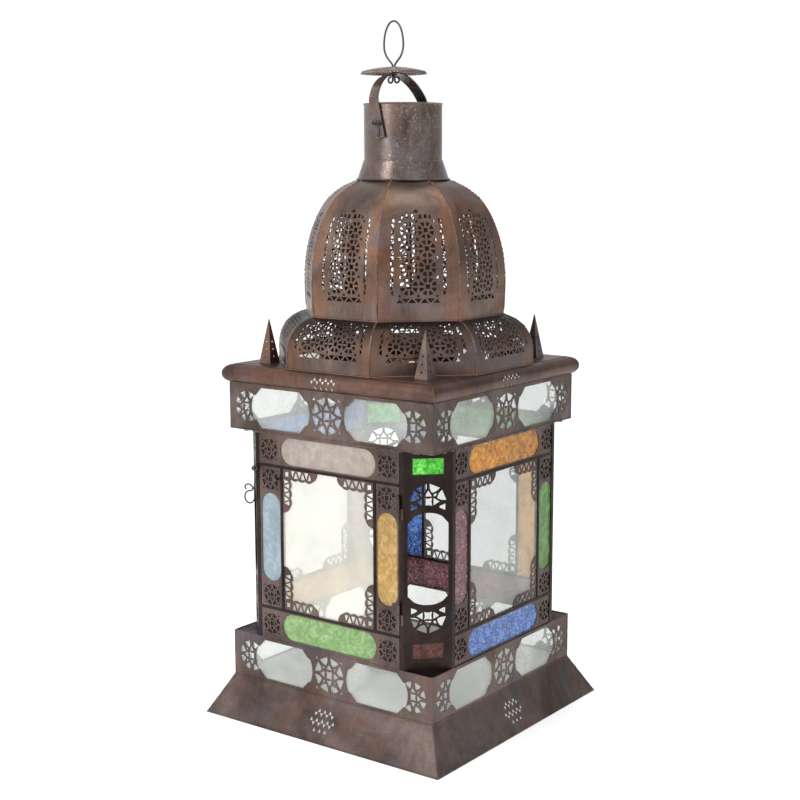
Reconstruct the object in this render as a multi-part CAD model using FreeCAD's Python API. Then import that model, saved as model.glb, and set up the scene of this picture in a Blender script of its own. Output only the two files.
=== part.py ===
import FreeCAD, Part
import math
import os

# A square, stained-glass candle lantern in pierced sheet metal. Millimetres, +Z up.
# The origin is on the ground, under the middle of the foot. The door is the -Y face.

V = FreeCAD.Vector

# ---------------------------------------------------------------- overall sizes
body_width = 272.0          # across two opposite faces of the body and its bands
foot_width = 320.0          # across the splayed skirt, on the ground
skirt_height = 43.7
band_height = 50.6          # each of the two glazed bands
panel_height = 231.6        # the glazed body between the bands
chamfer = 36.0              # leg of the cut-off corner, along each face
cornice_radius = 10.0       # half-round roll round the roof
cornice_inset = 3.8         # its middle, in from the body's face
cornice_drop = 0.45         # and how far it hangs below the roof

# ---------------------------------------------------------------- materials and fits
sheet = 0.8                 # all sheet metal
pane = 2.0                  # all glass
seat_gap = 0.3              # round a pane or a plate that lies in a frame
door_gap = 0.8              # between the door and its opening, at the sides and below
door_top_gap = 1.2
turning_gap = 0.08          # radial, a pin in its hole or knuckle
loose_gap = 0.4             # between pieces that pass each other as they move

# ---------------------------------------------------------------- skirt and floor
foot_hem = 8.0              # flat hem turned in under the skirt
mesh_pitch = 7.4            # pierced field of small triangles, on skirt and cornice
skirt_hole = 4.4
cornice_hole = 4.2

# ---------------------------------------------------------------- bands
band_border = 3.3           # metal above and below a band's openings
band_middle = 46.0          # pierced field between a band's two windows
band_end = 31.0             # pierced field at each end of a band
band_motif = 19.4           # outer radius of the middle field's rosette
band_end_motif = 16.6       # and of the end fields' part rosettes
band_star_inset = 6.4       # their middle, beyond the window
window_cut = 14.0           # how far a window's top stops short of its widest point
clip_size = 7.0             # folded tabs that hold the band glass

# ---------------------------------------------------------------- glazed frames
post_lap = 5.0              # the corner panel's flange on each face
rail_height = 34.5          # top and bottom strips
stile_width = 30.5          # left and right strips
opening_border = 3.2        # metal beside a coloured opening
medallion = 29.0            # pierced field at each end of a coloured opening
came_web = 1.2              # strip between two panes
came_flange = 2.8           # its cover, inside and outside
bracket_arm = 49.0          # lace corner of the clear window
bracket_width = 13.0
bracket_scallops = 3
bracket_tip = 7.0           # plain end of each arm
bracket_margin = 2.0        # metal outside its holes
bracket_lace = 8.0          # height of its holes
medallion_motif = 11.4      # outer radius of the rosette in a medallion

# ---------------------------------------------------------------- corner panels
corner_cell = 33.5          # the cell with glass at each end
corner_glass_width = 32.0
corner_glass_height = 16.5
corner_border = 4.4
corner_motif = 17.9         # outer radius of the rosette beyond the opening
corner_step = 11.4          # its middle, beyond the opening's crown
corner_rise = (11.2, 9.6)   # the opening's crown above its shoulders, at the top and at the foot
corner_run = (42.5, 46.0)   # from each glazed cell to the opening's shoulders
corner_foot_lift = 3.5      # the lower cell is this much taller

# ---------------------------------------------------------------- roof and finials
roof_lip = 7.0              # roof plate reaching in under the tier
finial_base = 16.0
finial_height = 48.0
finial_inset = 31.0         # its middle, in from each face of the body

# ---------------------------------------------------------------- eight-sided tier and dome
sides = 8
tier_set_in = 2.4           # the tier's foot, in from the body's face
tier_wall = 17.5            # its upright part
tier_bend = 36.4            # radius of its rounded top
tier_turn = 79.7
dome_lean = -3.8            # slope of the dome's foot, in degrees from upright
dome_belly = (600.0, 3.8)   # radius and turn of each stretch, from the foot up
dome_flank = (160.0, 25.0)
dome_shoulder = (68.0, 50.0)
tier_cell = 18.6            # one star of the tier's lattice
dome_cell = 19.6            # one star of the dome's lattice
lattice_column = 3.4        # width of the upright rows of holes
lattice_row = 5.0           # height of the level rows of holes
dome_lattice_half = 24.0
dome_lattice_foot = 19.0    # along the sheet, above the dome's foot
star_columns = (2, 4)        # small stars side by side on a dome facet and on a tier facet
star_rows = (4, 2)          # and above each other
tier_lattice_half = 41.0
tier_lattice_foot = 14.5

# ---------------------------------------------------------------- neck, bail, disc and loop
collar_height = 20.6
collar_flare = 7.5          # its cone spreads by this much below the neck
collar_brim = 1.2           # flat brim outside the cone
neck_radius = 42.3
neck_height = 63.0
neck_bead = 0.9             # rolled rim
pivot_drop = 24.0           # the bail's pins, below the rim
pin_radius = 1.8
strap_width = 12.0
strap_thick = 1.6
strap_tail = 14.0           # below the pins
strap_rise = 31.0           # the arch, above the rim
strap_corner = 12.0         # radius of its corners
strap_hole = 4.0            # radius of the hole that the hanging wire goes through
bail_lean = 12.5            # degrees, towards -X
disc_radius = 35.4
disc_rise = 4.6
disc_rim = 3.4              # the turned-down edge
disc_lift = 1.6             # above the strap
wire_radius = 1.05
loop_half = 13.0
loop_height = 48.0
loop_eye = 3.0
loop_drop = 3.4             # the eyes, below the strap

# ---------------------------------------------------------------- candle holder
saucer_radius = 42.0
saucer_rim = 7.0
cup_bore = 11.3             # radius, for a household candle
cup_depth = 22.0

# ---------------------------------------------------------------- door furniture
knuckle_radius = 1.9
hinge_pin_radius = 1.0
knuckle_length = 11.0
hinge_inset = 60.0          # each hinge's middle, in from the door's ends
leaf_width = 9.0
latch_stud = 1.2
latch_wire = 0.9
latch_drop = 41.0           # the latch's stud, below the top of the panels
stud_reach = 5.0
keeper_reach = 30.5         # the door's keeper, across from the latch's stud
keeper_drop = 8.9           # and below it

# ---------------------------------------------------------------- levels and shared places
half = body_width / 2
foot_half = foot_width / 2
panel_bottom = skirt_height + band_height
panel_top = panel_bottom + panel_height
cornice_bottom = panel_top + band_height
roof = cornice_bottom + 2 * cornice_radius
face_half = half - chamfer                      # flat part of a body face
frame_half = face_half - sheet                  # fixed frame, lapped by the corner flanges
door_half = face_half - post_lap - door_gap
side_plane = half - sheet                       # outside of the fixed frames
corner_plane = (half + face_half) / math.sqrt(2)
facet = math.radians(180 / sides)               # half a facet's angle
faces = {"front": 0, "right": 90, "back": 180, "left": 270}


# ================================================================ helpers
def at_angle(shape, distance, degrees):
    """Move a piece drawn on the XZ plane out to a face, turned about the Z axis."""
    moved = shape.copy()
    moved.translate(V(0, -distance, 0))
    moved.rotate(V(0, 0, 0), V(0, 0, 1), degrees)
    return moved


def box(x, y, z):
    """Box between pairs of limits."""
    return Part.makeBox(x[1] - x[0], y[1] - y[0], z[1] - z[0], V(x[0], y[0], z[0]))


def tube(outer, inner, low, high):
    """Upright ring about the Z axis."""
    body = Part.makeCylinder(outer, high - low, V(0, 0, low))
    return body.cut(Part.makeCylinder(inner, high - low, V(0, 0, low)))


def turned(points):
    """Solid of revolution about Z from (radius, height) corners."""
    corners = [V(r, 0, z) for r, z in points]
    profile = Part.Face(Part.makePolygon(corners + corners[:1]))
    return profile.revolve(V(0, 0, 0), V(0, 0, 1), 360)


def polygon(points):
    """Closed wire through corners on the XZ plane."""
    corners = [V(x, 0, z) for x, z in points]
    return Part.makePolygon(corners + corners[:1])


def outline(start, *steps):
    """Closed wire on the XZ plane. A step is the next corner, or a pair (middle, end) of an arc."""
    here = V(start[0], 0, start[1])
    edges = []
    for step in steps:
        if isinstance(step[0], tuple):
            middle, end = [V(x, 0, z) for x, z in step]
            edges.append(Part.Arc(here, middle, end).toShape())
        else:
            end = V(step[0], 0, step[1])
            edges.append(Part.makeLine(here, end))
        here = end
    return Part.Wire(edges)


def rectangle(x0, x1, z0, z1):
    return polygon([(x0, z0), (x1, z0), (x1, z1), (x0, z1)])


def plate(border, holes=(), thick=sheet):
    """Pierced sheet with its outer side on the XZ plane."""
    flat = Part.makeFace([border] + list(holes), "Part::FaceMakerBullseye")
    return flat.extrude(V(0, thick, 0))


def through(holes, depth):
    """Cutters for holes drawn on the XZ plane, reaching depth to each side of it."""
    cutters = []
    for hole in holes:
        cutter = Part.Face(hole).extrude(V(0, 2 * depth, 0))
        cutter.translate(V(0, -depth, 0))
        cutters.append(cutter)
    return Part.makeCompound(cutters)


def mitre(shape, half_angle, low, high):
    """Keep what lies within half_angle of the -Y direction, so that neighbours meet edge to edge."""
    reach = 2 * foot_width
    side = reach * math.tan(half_angle)
    tip = V(0, 0, low)
    wedge = Part.Face(Part.makePolygon([tip, V(-side, -reach, low), V(side, -reach, low), tip]))
    return shape.common(wedge.extrude(V(0, 0, high - low)))


def bent_wire(points, bends, radius):
    """Round wire along straight runs with a rounded bend at each inner point."""
    corners = [V(*p) for p in points]
    edges = []
    here = corners[0]
    for i, bend in enumerate(bends):
        corner = corners[i + 1]
        back = (corners[i] - corner).normalize()
        ahead = (corners[i + 2] - corner).normalize()
        inside = back.getAngle(ahead)
        trim = bend / math.tan(inside / 2)
        centre = corner + (back + ahead).normalize() * (bend / math.sin(inside / 2))
        start = corner + back * trim
        end = corner + ahead * trim
        middle = centre + (corner - centre).normalize() * bend
        if (start - here).Length > 1e-6:
            edges.append(Part.makeLine(here, start))
        edges.append(Part.Arc(start, middle, end).toShape())
        here = end
    edges.append(Part.makeLine(here, corners[-1]))
    path = Part.Wire(edges)
    direction = corners[1] - corners[0]
    ring = Part.Wire(Part.makeCircle(radius, corners[0], direction))
    return path.makePipeShell([ring], True, False)


# ================================================================ pierced patterns
def spoke(x, z, bearing, near, far, near_half, far_half):
    """Hole along a bearing from (x, z). A half width of nought ends it in a point."""
    ux, uz = math.cos(bearing), math.sin(bearing)
    corners = []
    for reach, half_width in ((near, near_half), (far, far_half)):
        spread = (half_width, -half_width) if reach == near else (-half_width, half_width)
        for side in spread if half_width else (0,):
            corners.append((x + ux * reach - uz * side, z + uz * reach + ux * side))
    return corners


def star(x, z, radius):
    """Four-pointed star with hollow sides, its points on the diagonals."""
    corners = []
    for k in range(8):
        reach = radius * (0.58 if k % 2 == 0 else 1.0)
        angle = math.radians(45 * k)
        corners.append((x + reach * math.cos(angle), z + reach * math.sin(angle)))
    return corners


def shield(x, z, bearing, stations):
    """Hole along a bearing from (x, z), through (reach, half width) stations. A width of nought is a point."""
    ux, uz = math.cos(bearing), math.sin(bearing)
    there = [(reach, half_width) for reach, half_width in stations]
    back = [(reach, -half_width) for reach, half_width in reversed(stations) if half_width]
    return [(x + ux * reach - uz * side, z + uz * reach + ux * side) for reach, side in there + back]


def rosette(x, z, radius, bearings=range(8), inner=range(4), fullness=1.0):
    """Star, a ring of points round it and an outer ring of wedges. radius is the outer ring's edge."""
    u = radius / 19.0
    holes = [star(x, z, 6.2 * u)]
    for k in inner:
        holes.append(spoke(x, z, math.radians(90 * k), 5.9 * u, 12.6 * u, 4.2 * u, 0))
    for k in range(4):
        if 2 * k in bearings and 2 * k + 1 in bearings:
            stations = ((8.2 * u, 0), (10.6 * u, 1.6 * u), (13.2 * u, 0))
            holes.append(shield(x, z, math.radians(90 * k + 45), stations))
    for k in bearings:
        stations = ((11.2 * u, 1.0 * u), (14.5 * u, 4.2 * u * fullness), (19.0 * u, 6.2 * u * fullness))
        holes.append(shield(x, z, math.radians(22.5 + 45 * k), stations))
    return holes


def corner_wedges(x, z, radius):
    """Four holes that square off a rosette of that radius."""
    u = radius / 19.0
    return [spoke(x, z, math.radians(45 + 90 * k), 21.4 * u, 24.4 * u, 0.5 * u, 2.3 * u) for k in range(4)]


def zigzag(start, end, height, count, bar=1.9):
    """Row of triangles, point up and point down in turn, along the line from start to end."""
    (x0, z0), (x1, z1) = start, end
    length = math.hypot(x1 - x0, z1 - z0)
    ux, uz = (x1 - x0) / length, (z1 - z0) / length
    pitch = length / count
    holes = []
    for i in range(count):
        middle = (i + 0.5) * pitch
        base, tip = (0, height) if i % 2 == 0 else (height, 0)
        spread = pitch - bar
        local = [(middle - spread, base), (middle + spread, base), (middle, tip)]
        inner = [(max(0.0, min(length, along)), across) for along, across in local]
        holes.append([(x0 + ux * a - uz * c, z0 + uz * a + ux * c) for a, c in inner])
    return holes


def mesh_field(z, size, rows):
    """Level rows of small triangles about x = 0. A row is (its height above z, its number of holes)."""
    holes = []
    for k, (rise, count) in enumerate(rows):
        for i in range(count):
            x = (i - (count - 1) / 2) * mesh_pitch
            up = 1 if k % 2 == 0 else -1
            tip = up * size / 2
            holes.append([(x - size / 2, z + rise - tip), (x + size / 2, z + rise - tip), (x, z + rise + tip)])
    return holes


def band_window(x, z, half_width, half_height):
    """Window with straight top and foot, cusped corners and bowed sides."""
    top = half_width - window_cut
    cusp_x, cusp_z = half_width - 0.22 * window_cut, half_height * 0.58
    notch_x, notch_z = half_width - 0.44 * window_cut, half_height * 0.62
    return outline(
        (x - top, z - half_height), (x + top, z - half_height),
        (x + notch_x, z - notch_z), (x + cusp_x, z - cusp_z),
        ((x + half_width, z), (x + cusp_x, z + cusp_z)),
        (x + notch_x, z + notch_z), (x + top, z + half_height),
        (x - top, z + half_height), (x - notch_x, z + notch_z), (x - cusp_x, z + cusp_z),
        ((x - half_width, z), (x - cusp_x, z - cusp_z)),
        (x - notch_x, z - notch_z), (x - top, z - half_height))


def long_opening(x, z, half_length, half_width, upright=False):
    """Opening with parallel sides and half-round ends."""
    run = half_length - half_width
    if upright:
        return outline(
            (x - half_width, z - run), ((x, z - half_length), (x + half_width, z - run)),
            (x + half_width, z + run), ((x, z + half_length), (x - half_width, z + run)),
            (x - half_width, z - run))
    return outline(
        (x - run, z - half_width), (x + run, z - half_width),
        ((x + half_length, z), (x + run, z + half_width)), (x - run, z + half_width),
        ((x - half_length, z), (x - run, z - half_width)))


# ================================================================ skirt, floor and candle holder
def skirt_panels():
    """Four splayed sheets with a pierced motif, and a flat hem on the ground."""
    splay = foot_half - half
    slope = math.hypot(splay, skirt_height)
    tilt = math.degrees(math.atan2(splay, skirt_height))
    border = polygon([(-foot_half, 0), (foot_half, 0), (half, slope), (-half, slope)])
    middle = slope / 2
    motif = mesh_field(middle, skirt_hole, ((-10.4, 3), (-5.2, 4), (0, 5), (5.2, 4), (10.4, 3)))
    panel = plate(border, [polygon(hole) for hole in motif])
    panel.rotate(V(0, 0, 0), V(1, 0, 0), -tilt)
    hem = box((-foot_half, foot_half), (0, foot_hem), (0, sheet))
    panel = panel.fuse(hem).removeSplitter()
    under = box((-foot_width, foot_width), (-foot_width, foot_width), (-foot_hem, 0))
    panel = panel.cut(under)
    panel.translate(V(0, -foot_half, 0))
    panel = mitre(panel, math.pi / 4, 0, skirt_height)
    return [at_angle(panel, 0, turn) for turn in faces.values()]


def floor_pan():
    """Flat floor of the lantern, over the splayed foot."""
    reach = half - sheet - seat_gap
    floor = box((-reach, reach), (-reach, reach), (skirt_height, skirt_height + sheet))
    return floor


def candle_saucer():
    """Dished drip tray on the floor."""
    low = skirt_height + sheet
    lip = saucer_radius + saucer_rim * 0.6
    return turned([
        (0, low), (saucer_radius, low), (lip, low + saucer_rim), (lip - sheet, low + saucer_rim),
        (saucer_radius - sheet * 0.6, low + sheet), (0, low + sheet)])


def candle_cup():
    """Cup for one candle, closed below, with a rolled mouth."""
    low = skirt_height + 2 * sheet
    high = low + sheet + cup_depth
    outer = cup_bore + sheet
    cup = turned([
        (0, low), (outer, low), (outer, high - 2), (outer + 1.2, high), (cup_bore, high),
        (cup_bore, low + sheet), (0, low + sheet)])
    return cup


# ================================================================ glazed bands
def band_windows(z):
    """Middle and half width of a band's two windows."""
    half_width = (half - band_middle / 2 - band_end) / 2
    return band_middle / 2 + half_width, half_width


def band_panel(low):
    """One side of a band: two windows, and pierced fields between and beside them."""
    middle = low + band_height / 2
    x, half_width = band_windows(middle)
    holes = [band_window(side * x, middle, half_width, band_height / 2 - band_border) for side in (-1, 1)]
    motif = rosette(0, middle, band_motif) + corner_wedges(0, middle, band_motif)
    for side in (-1, 1):
        away = (0, 1, 3) if side > 0 else (1, 2, 3)
        kept = (0, 1, 2, 5, 6, 7) if side > 0 else (1, 2, 3, 4, 5, 6)
        motif += rosette(side * (half - band_end + band_star_inset), middle, band_end_motif, kept, away, 0.78)
    panel = plate(rectangle(-half, half, low, low + band_height), holes + [polygon(hole) for hole in motif])
    panel.translate(V(0, -half, 0))
    return mitre(panel, math.pi / 4, low, low + band_height)


def band_panes():
    """One strip of clear glass behind each side of each band."""
    reach = half - 2 * sheet - pane - seat_gap
    strips = []
    for low in (skirt_height, panel_top):
        strip = box((-reach, reach), (0, pane), (low + sheet * 2 + seat_gap, low + band_height - sheet * 2))
        strips += [at_angle(strip, half - sheet, turn) for turn in faces.values()]
    return strips


def band_clips():
    """Tabs soldered behind the bands' middle fields, over the glass."""
    clips = []
    for low in (skirt_height, panel_top):
        for x in (-half + band_end / 2 + clip_size, 0, half - band_end / 2 - clip_size):
            z = low + 2 * sheet
            across = (x - clip_size / 2, x + clip_size / 2)
            tab = box(across, (pane, pane + sheet), (z - sheet, z + clip_size))
            clip = tab.fuse(box(across, (0, pane), (z - sheet, z)))
            clips += [at_angle(clip, half - sheet, turn) for turn in faces.values()]
    return clips


# ================================================================ corner panels
def corner_arch(z, rise):
    """End of the open cell: ogee shoulders that rise to a rounded middle."""
    reach = chamfer / math.sqrt(2) - corner_border
    return [(reach, z), (reach * 0.72, z + rise * 0.6), (reach * 0.66, z + rise * 0.68), (0, z + rise)]


def corner_panel():
    """Cut-off corner of the body: two glazed cells, an open cell between them and a flange on each face."""
    width = chamfer / math.sqrt(2)
    glass_x = corner_glass_width / 2
    holes = []
    for cell in (panel_bottom + corner_cell / 2 + corner_foot_lift, panel_top - corner_cell / 2):
        glass_z = corner_glass_height / 2
        holes.append(rectangle(-glass_x, glass_x, cell - glass_z, cell + glass_z))
    low = panel_bottom + corner_cell + corner_run[1]
    high = panel_top - corner_cell - corner_run[0]
    foot = corner_arch(low, -corner_rise[1])
    top = corner_arch(high, corner_rise[0])
    mirrored = [(-x, z) for x, z in top]
    foot_mirrored = [(-x, z) for x, z in foot]
    bow = 1.0
    crown_x, crown_z = top[2][0] / 2, (top[2][1] + top[3][1]) / 2 + bow
    foot_z = (foot[2][1] + foot[3][1]) / 2 - bow
    holes.append(outline(
        foot[0], top[0], top[1], top[2], ((crown_x, crown_z), top[3]),
        ((-crown_x, crown_z), mirrored[2]), mirrored[1], mirrored[0], foot_mirrored[0], foot_mirrored[1],
        foot_mirrored[2], ((-crown_x, foot_z), foot[3]), ((crown_x, foot_z), foot[2]), foot[1], foot[0]))
    upper = top[3][1] + corner_step
    lower = foot[3][1] - corner_step
    motif = rosette(0, upper, corner_motif, bearings=range(0, 4), inner=(0, 1, 2))
    motif += rosette(0, lower, corner_motif, bearings=range(4, 8), inner=(0, 2, 3))
    for side in (-1, 1):
        bearing = 0 if side > 0 else math.pi
        motif.append(spoke(side * 9.5, upper - 5.5, bearing, 2.2, 8.2, 0.8, 3.4))
        motif.append(spoke(side * 9.5, lower + 5.5, bearing, 2.2, 8.2, 0.8, 3.4))
    panel = plate(rectangle(-width, width, panel_bottom, panel_top), holes + [polygon(hole) for hole in motif])
    panel = at_angle(panel, corner_plane, 45)
    lap = box((face_half - post_lap, face_half), (-half, -half + sheet), (panel_bottom, panel_top))
    other = box((half - sheet, half), (-face_half, -face_half + post_lap), (panel_bottom, panel_top))
    return panel.fuse([lap, other])


def corner_glass(cell):
    """Small textured panes behind one glazed cell of all four corners."""
    reach = corner_glass_width / 2 + 3.5
    rise = corner_glass_height / 2 + 3.5
    strip = box((-reach, reach), (sheet, sheet + pane), (cell - rise, cell + rise))
    return [at_angle(strip, corner_plane, turn + 45) for turn in faces.values()]


def corner_ledges():
    """Flat triangles that close the bands where the body's corners are cut off."""
    reach = half - sheet
    ledges = []
    for low in (panel_bottom - sheet, panel_top):
        corners = [V(face_half, -reach, low), V(reach, -reach, low), V(reach, -face_half, low)]
        ledge = Part.Face(Part.makePolygon(corners + corners[:1])).extrude(V(0, 0, sheet))
        ledges += [at_angle(ledge, 0, turn) for turn in faces.values()]
    return ledges


# ================================================================ glazed frames
def bracket():
    """Lace corner with a scalloped inner edge. Its outer corner is at nought, its arms along +X and +Z."""
    top = bracket_width - 2.0
    tip = bracket_arm - bracket_tip
    pitch = (tip - bracket_width) / bracket_scallops
    arm = []
    for i in range(bracket_scallops):
        arm.append((tip - (i + 0.5) * pitch, tip - (i + 1) * pitch))
    steps = [(bracket_arm, 0), ((bracket_arm - 1.6, top * 0.62), (tip, top))]
    for crest, cusp in arm:
        steps.append(((crest, bracket_width), (cusp, top)))
    steps.append(((bracket_width - 0.6, bracket_width - 0.6), (top, bracket_width)))
    for crest, cusp in reversed(arm):
        start = cusp + pitch
        steps.append(((bracket_width, crest), (top, start)))
    steps.append(((top * 0.62, bracket_arm - 1.6), (0, bracket_arm)))
    steps.append((0, 0))
    return steps


def bracket_plate():
    """One lace bracket as a pierced plate."""
    border = outline((0, 0), *bracket())
    run = bracket_arm - 8.0
    count = 6
    holes = [star(bracket_width / 2, bracket_width / 2, 4.0)]
    along = zigzag((bracket_width - 1.0, bracket_margin), (run, bracket_margin), bracket_lace, count, 1.7)
    holes += along
    holes += [[(z, x) for x, z in hole] for hole in along]
    return plate(border, [polygon(hole) for hole in holes])


def frame_pieces(reach, low, high):
    """Rails, stiles and lace brackets of one glazed frame, reach to each side of its middle."""
    window = reach - stile_width - came_web
    opening = reach - medallion - 1.0
    rail_holes = [long_opening(0, 0, opening, rail_height / 2 - opening_border + 0.8)]
    small = rosette(0, 0, medallion_motif) + corner_wedges(0, 0, medallion_motif)
    for side in (-1, 1):
        x = side * (reach - medallion / 2)
        rail_holes += [polygon([(x + px, pz) for px, pz in hole]) for hole in small]
    rail = plate(rectangle(-reach, reach, -rail_height / 2, rail_height / 2), rail_holes)
    stile_low = low + rail_height + came_web
    stile_high = high - rail_height - came_web
    stile_half = (stile_high - stile_low) / 2
    stile_opening = stile_width / 2 - opening_border + 1.2
    stile_holes = [long_opening(0, 0, stile_half - medallion - 1.0, stile_opening, True)]
    for side in (-1, 1):
        z = side * (stile_half - medallion / 2)
        stile_holes += [polygon([(px, z + pz) for px, pz in hole]) for hole in small]
    stile = plate(rectangle(-stile_width / 2, stile_width / 2, -stile_half, stile_half), stile_holes)
    middle = (stile_low + stile_high) / 2
    pieces = []
    for z in (low + rail_height / 2, high - rail_height / 2):
        strip = rail.copy()
        strip.translate(V(0, 0, z))
        pieces.append(strip)
    for side in (-1, 1):
        strip = stile.copy()
        strip.translate(V(side * (reach - stile_width / 2), 0, middle))
        pieces.append(strip)
    lace = bracket_plate()
    lace.translate(V(-window, 0, stile_low))
    for shape in (lace, lace.mirror(V(0, 0, middle), V(0, 0, 1))):
        pieces += [shape, shape.mirror(V(0, 0, 0), V(1, 0, 0))]
    return pieces


def frame_glass(reach, low, high):
    """The five panes of one frame, by place, behind its sheet."""
    inner = reach - stile_width
    stile_low = low + rail_height + came_web
    stile_high = high - rail_height - came_web
    gap = seat_gap
    depth = (sheet, sheet + pane)
    edge = reach - gap
    return {
        "foot": box((-edge, edge), depth, (low + gap, low + rail_height - gap)),
        "top": box((-edge, edge), depth, (high - rail_height + gap, high - gap)),
        "left": box((-edge, -inner - gap), depth, (stile_low + gap, stile_high - gap)),
        "right": box((inner + gap, edge), depth, (stile_low + gap, stile_high - gap)),
        "middle": box((-inner + came_web + gap, inner - came_web - gap), depth,
                      (stile_low + gap, stile_high - gap)),
    }


def came(outside, inside, web_length):
    """Strip of H section along X, from the lengths of its outer cover, its inner cover and its web."""
    depth = sheet + pane
    web = box((-web_length / 2, web_length / 2), (0, depth), (-came_web / 2, came_web / 2))
    covers = []
    for near, length in ((-sheet, outside), (depth, inside)):
        cover = box((-length / 2, length / 2), (near, near + sheet), (-came_flange / 2, came_flange / 2))
        covers.append(cover)
    return web.fuse(covers)


def frame_cames(reach, low, high, cover):
    """Two level strips across a frame, their outer cover reaching out to cover, and two upright ones."""
    level = came(2 * cover, 2 * reach, 2 * reach)
    low_z = low + rail_height + came_web / 2
    high_z = high - rail_height - came_web / 2
    height = high_z - low_z
    upright = came(height - came_flange, height - came_flange, height - came_web)
    upright.rotate(V(0, 0, 0), V(0, 1, 0), 90)
    strips = []
    for z in (low_z, high_z):
        strip = level.copy()
        strip.translate(V(0, 0, z))
        strips.append(strip)
    for side in (-1, 1):
        strip = upright.copy()
        strip.translate(V(side * (reach - stile_width - came_web / 2), 0, (low_z + high_z) / 2))
        strips.append(strip)
    return strips


# ================================================================ roof
def cornice():
    """Half-round hollow roll on each side, pierced at the middle."""
    middle = cornice_bottom + cornice_radius - cornice_drop
    outer = Part.makeCylinder(cornice_radius, 2 * foot_width, V(-foot_width, 0, middle), V(1, 0, 0))
    hollow = Part.makeCylinder(cornice_radius - sheet, 2 * foot_width, V(-foot_width, 0, middle), V(1, 0, 0))
    behind = box((-foot_width, foot_width), (0, foot_width), (cornice_bottom - 1, roof + 1))
    roll = outer.cut(hollow).cut(behind)
    holes = mesh_field(middle, cornice_hole, ((-4.8, 4), (0, 5), (4.8, 4)))
    roll = roll.cut(through([polygon(hole) for hole in holes], foot_width))
    roll.translate(V(0, cornice_inset - half, 0))
    roll = mitre(roll, math.pi / 4, cornice_bottom - 1, roof)
    return [at_angle(roll, 0, turn) for turn in faces.values()]


def roof_plates():
    """Flat roof round the eight-sided opening: a triangle at each corner, a strip along each side."""
    opening = half - tier_set_in - sheet - roof_lip
    edge = half - cornice_inset
    vertex = opening * math.tan(facet)
    meet = opening * math.sqrt(2) - edge
    triangle = [V(meet, -edge, 0), V(edge, -edge, 0), V(edge, -meet, 0)]
    strip = [V(-meet, -edge, 0), V(meet, -edge, 0), V(vertex, -opening, 0), V(-vertex, -opening, 0)]
    plates = []
    for corners in (triangle, strip):
        flat = Part.Face(Part.makePolygon(corners + corners[:1])).extrude(V(0, 0, sheet))
        flat.translate(V(0, 0, roof - sheet))
        plates += [at_angle(flat, 0, turn) for turn in faces.values()]
    return plates


def finials():
    """Hollow folded spikes at the corners of the roof, with small holes up each face."""
    reach = finial_base / 2
    shells = []
    for size, rise in ((reach, finial_height), (reach - sheet, finial_height - 3 * sheet)):
        foot = Part.makePolygon([V(-size, -size, 0), V(size, -size, 0), V(size, size, 0), V(-size, size, 0),
                                 V(-size, -size, 0)])
        tip = 0.04 * size
        cap = Part.makePolygon([V(-tip, -tip, rise), V(tip, -tip, rise), V(tip, tip, rise), V(-tip, tip, rise),
                                V(-tip, -tip, rise)])
        shells.append(Part.makeLoft([foot, cap], True, True))
    spike = shells[0].cut(shells[1])
    marks = [polygon([(-1.5, z), (1.5, z), (0, z + 3.2)]) for z in (6.0, 14.0, 22.0)]
    marks_x = through(marks, finial_base)
    marks_y = marks_x.copy()
    marks_y.rotate(V(0, 0, 0), V(0, 0, 1), 90)
    spike = spike.cut(marks_x).cut(marks_y)
    place = half - finial_inset
    spike.translate(V(place, -place, roof))
    return [at_angle(spike, 0, turn) for turn in faces.values()]


# ================================================================ tier and dome
class Profile:
    """Rising line of straight and round stretches, each (length, turn in radians), from a foot."""

    def __init__(self, apothem, height, slope, stretches):
        self.apothem, self.height, self.slope = apothem, height, slope
        self.stretches = stretches
        self.length = sum(length for length, turn in stretches)

    def at(self, distance, depth=0.0):
        """(apothem, height) at a distance along the line, and depth below the sheet's outside."""
        a, z, slope = self.apothem, self.height, self.slope
        for length, turn in self.stretches:
            run = min(distance, length)
            bend = turn * run / length
            if turn:
                radius = length / turn
                a += radius * (math.cos(slope + bend) - math.cos(slope))
                z += radius * (math.sin(slope + bend) - math.sin(slope))
            else:
                a -= run * math.sin(slope)
                z += run * math.cos(slope)
            slope += bend
            distance -= run
            if distance <= 0:
                break
        return a - depth * math.cos(slope), z - depth * math.sin(slope)

    def edges(self, depth):
        """Edges along the line in the YZ plane, at a depth below the outside."""
        found = []
        start = 0.0
        for length, turn in self.stretches:
            points = []
            for distance in (start, start + length / 2, start + length):
                a, z = self.at(distance, depth)
                points.append(V(0, -a, z))
            if turn:
                found.append(Part.Arc(*points).toShape())
            else:
                found.append(Part.makeLine(points[0], points[2]))
            start += length
        return found

    def facet_panel(self, holes):
        """One pierced facet. Holes are in (x, distance along the sheet)."""
        outside, inside = self.edges(0.0), self.edges(sheet)
        ends = []
        for distance in (0.0, self.length):
            near, far = self.at(distance), self.at(distance, sheet)
            ends.append(Part.makeLine(V(0, -near[0], near[1]), V(0, -far[0], far[1])))
        section = Part.Face(Part.Wire(Part.__sortEdges__(outside + inside + ends)))
        reach = self.apothem
        section.translate(V(-reach, 0, 0))
        shell = section.extrude(V(2 * reach, 0, 0))
        shell = mitre(shell, facet, self.height - 2 * sheet, self.height + self.length)
        outlines = []
        for hole in holes:
            outlines.append(polygon([(x, self.at(distance, sheet / 2)[1]) for x, distance in hole]))
        return shell.cut(through(outlines, 2 * reach).common(
            box((-reach, reach), (-2 * reach, 0), (self.height, self.height + self.length))))

    def taper(self, distance):
        """How much narrower a facet is here than at its foot."""
        return self.at(distance)[0] / self.apothem


def tier_profile():
    bend = math.radians(tier_turn)
    return Profile(half - tier_set_in, roof, 0.0, [(tier_wall, 0.0), (tier_bend * bend, bend)])


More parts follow.
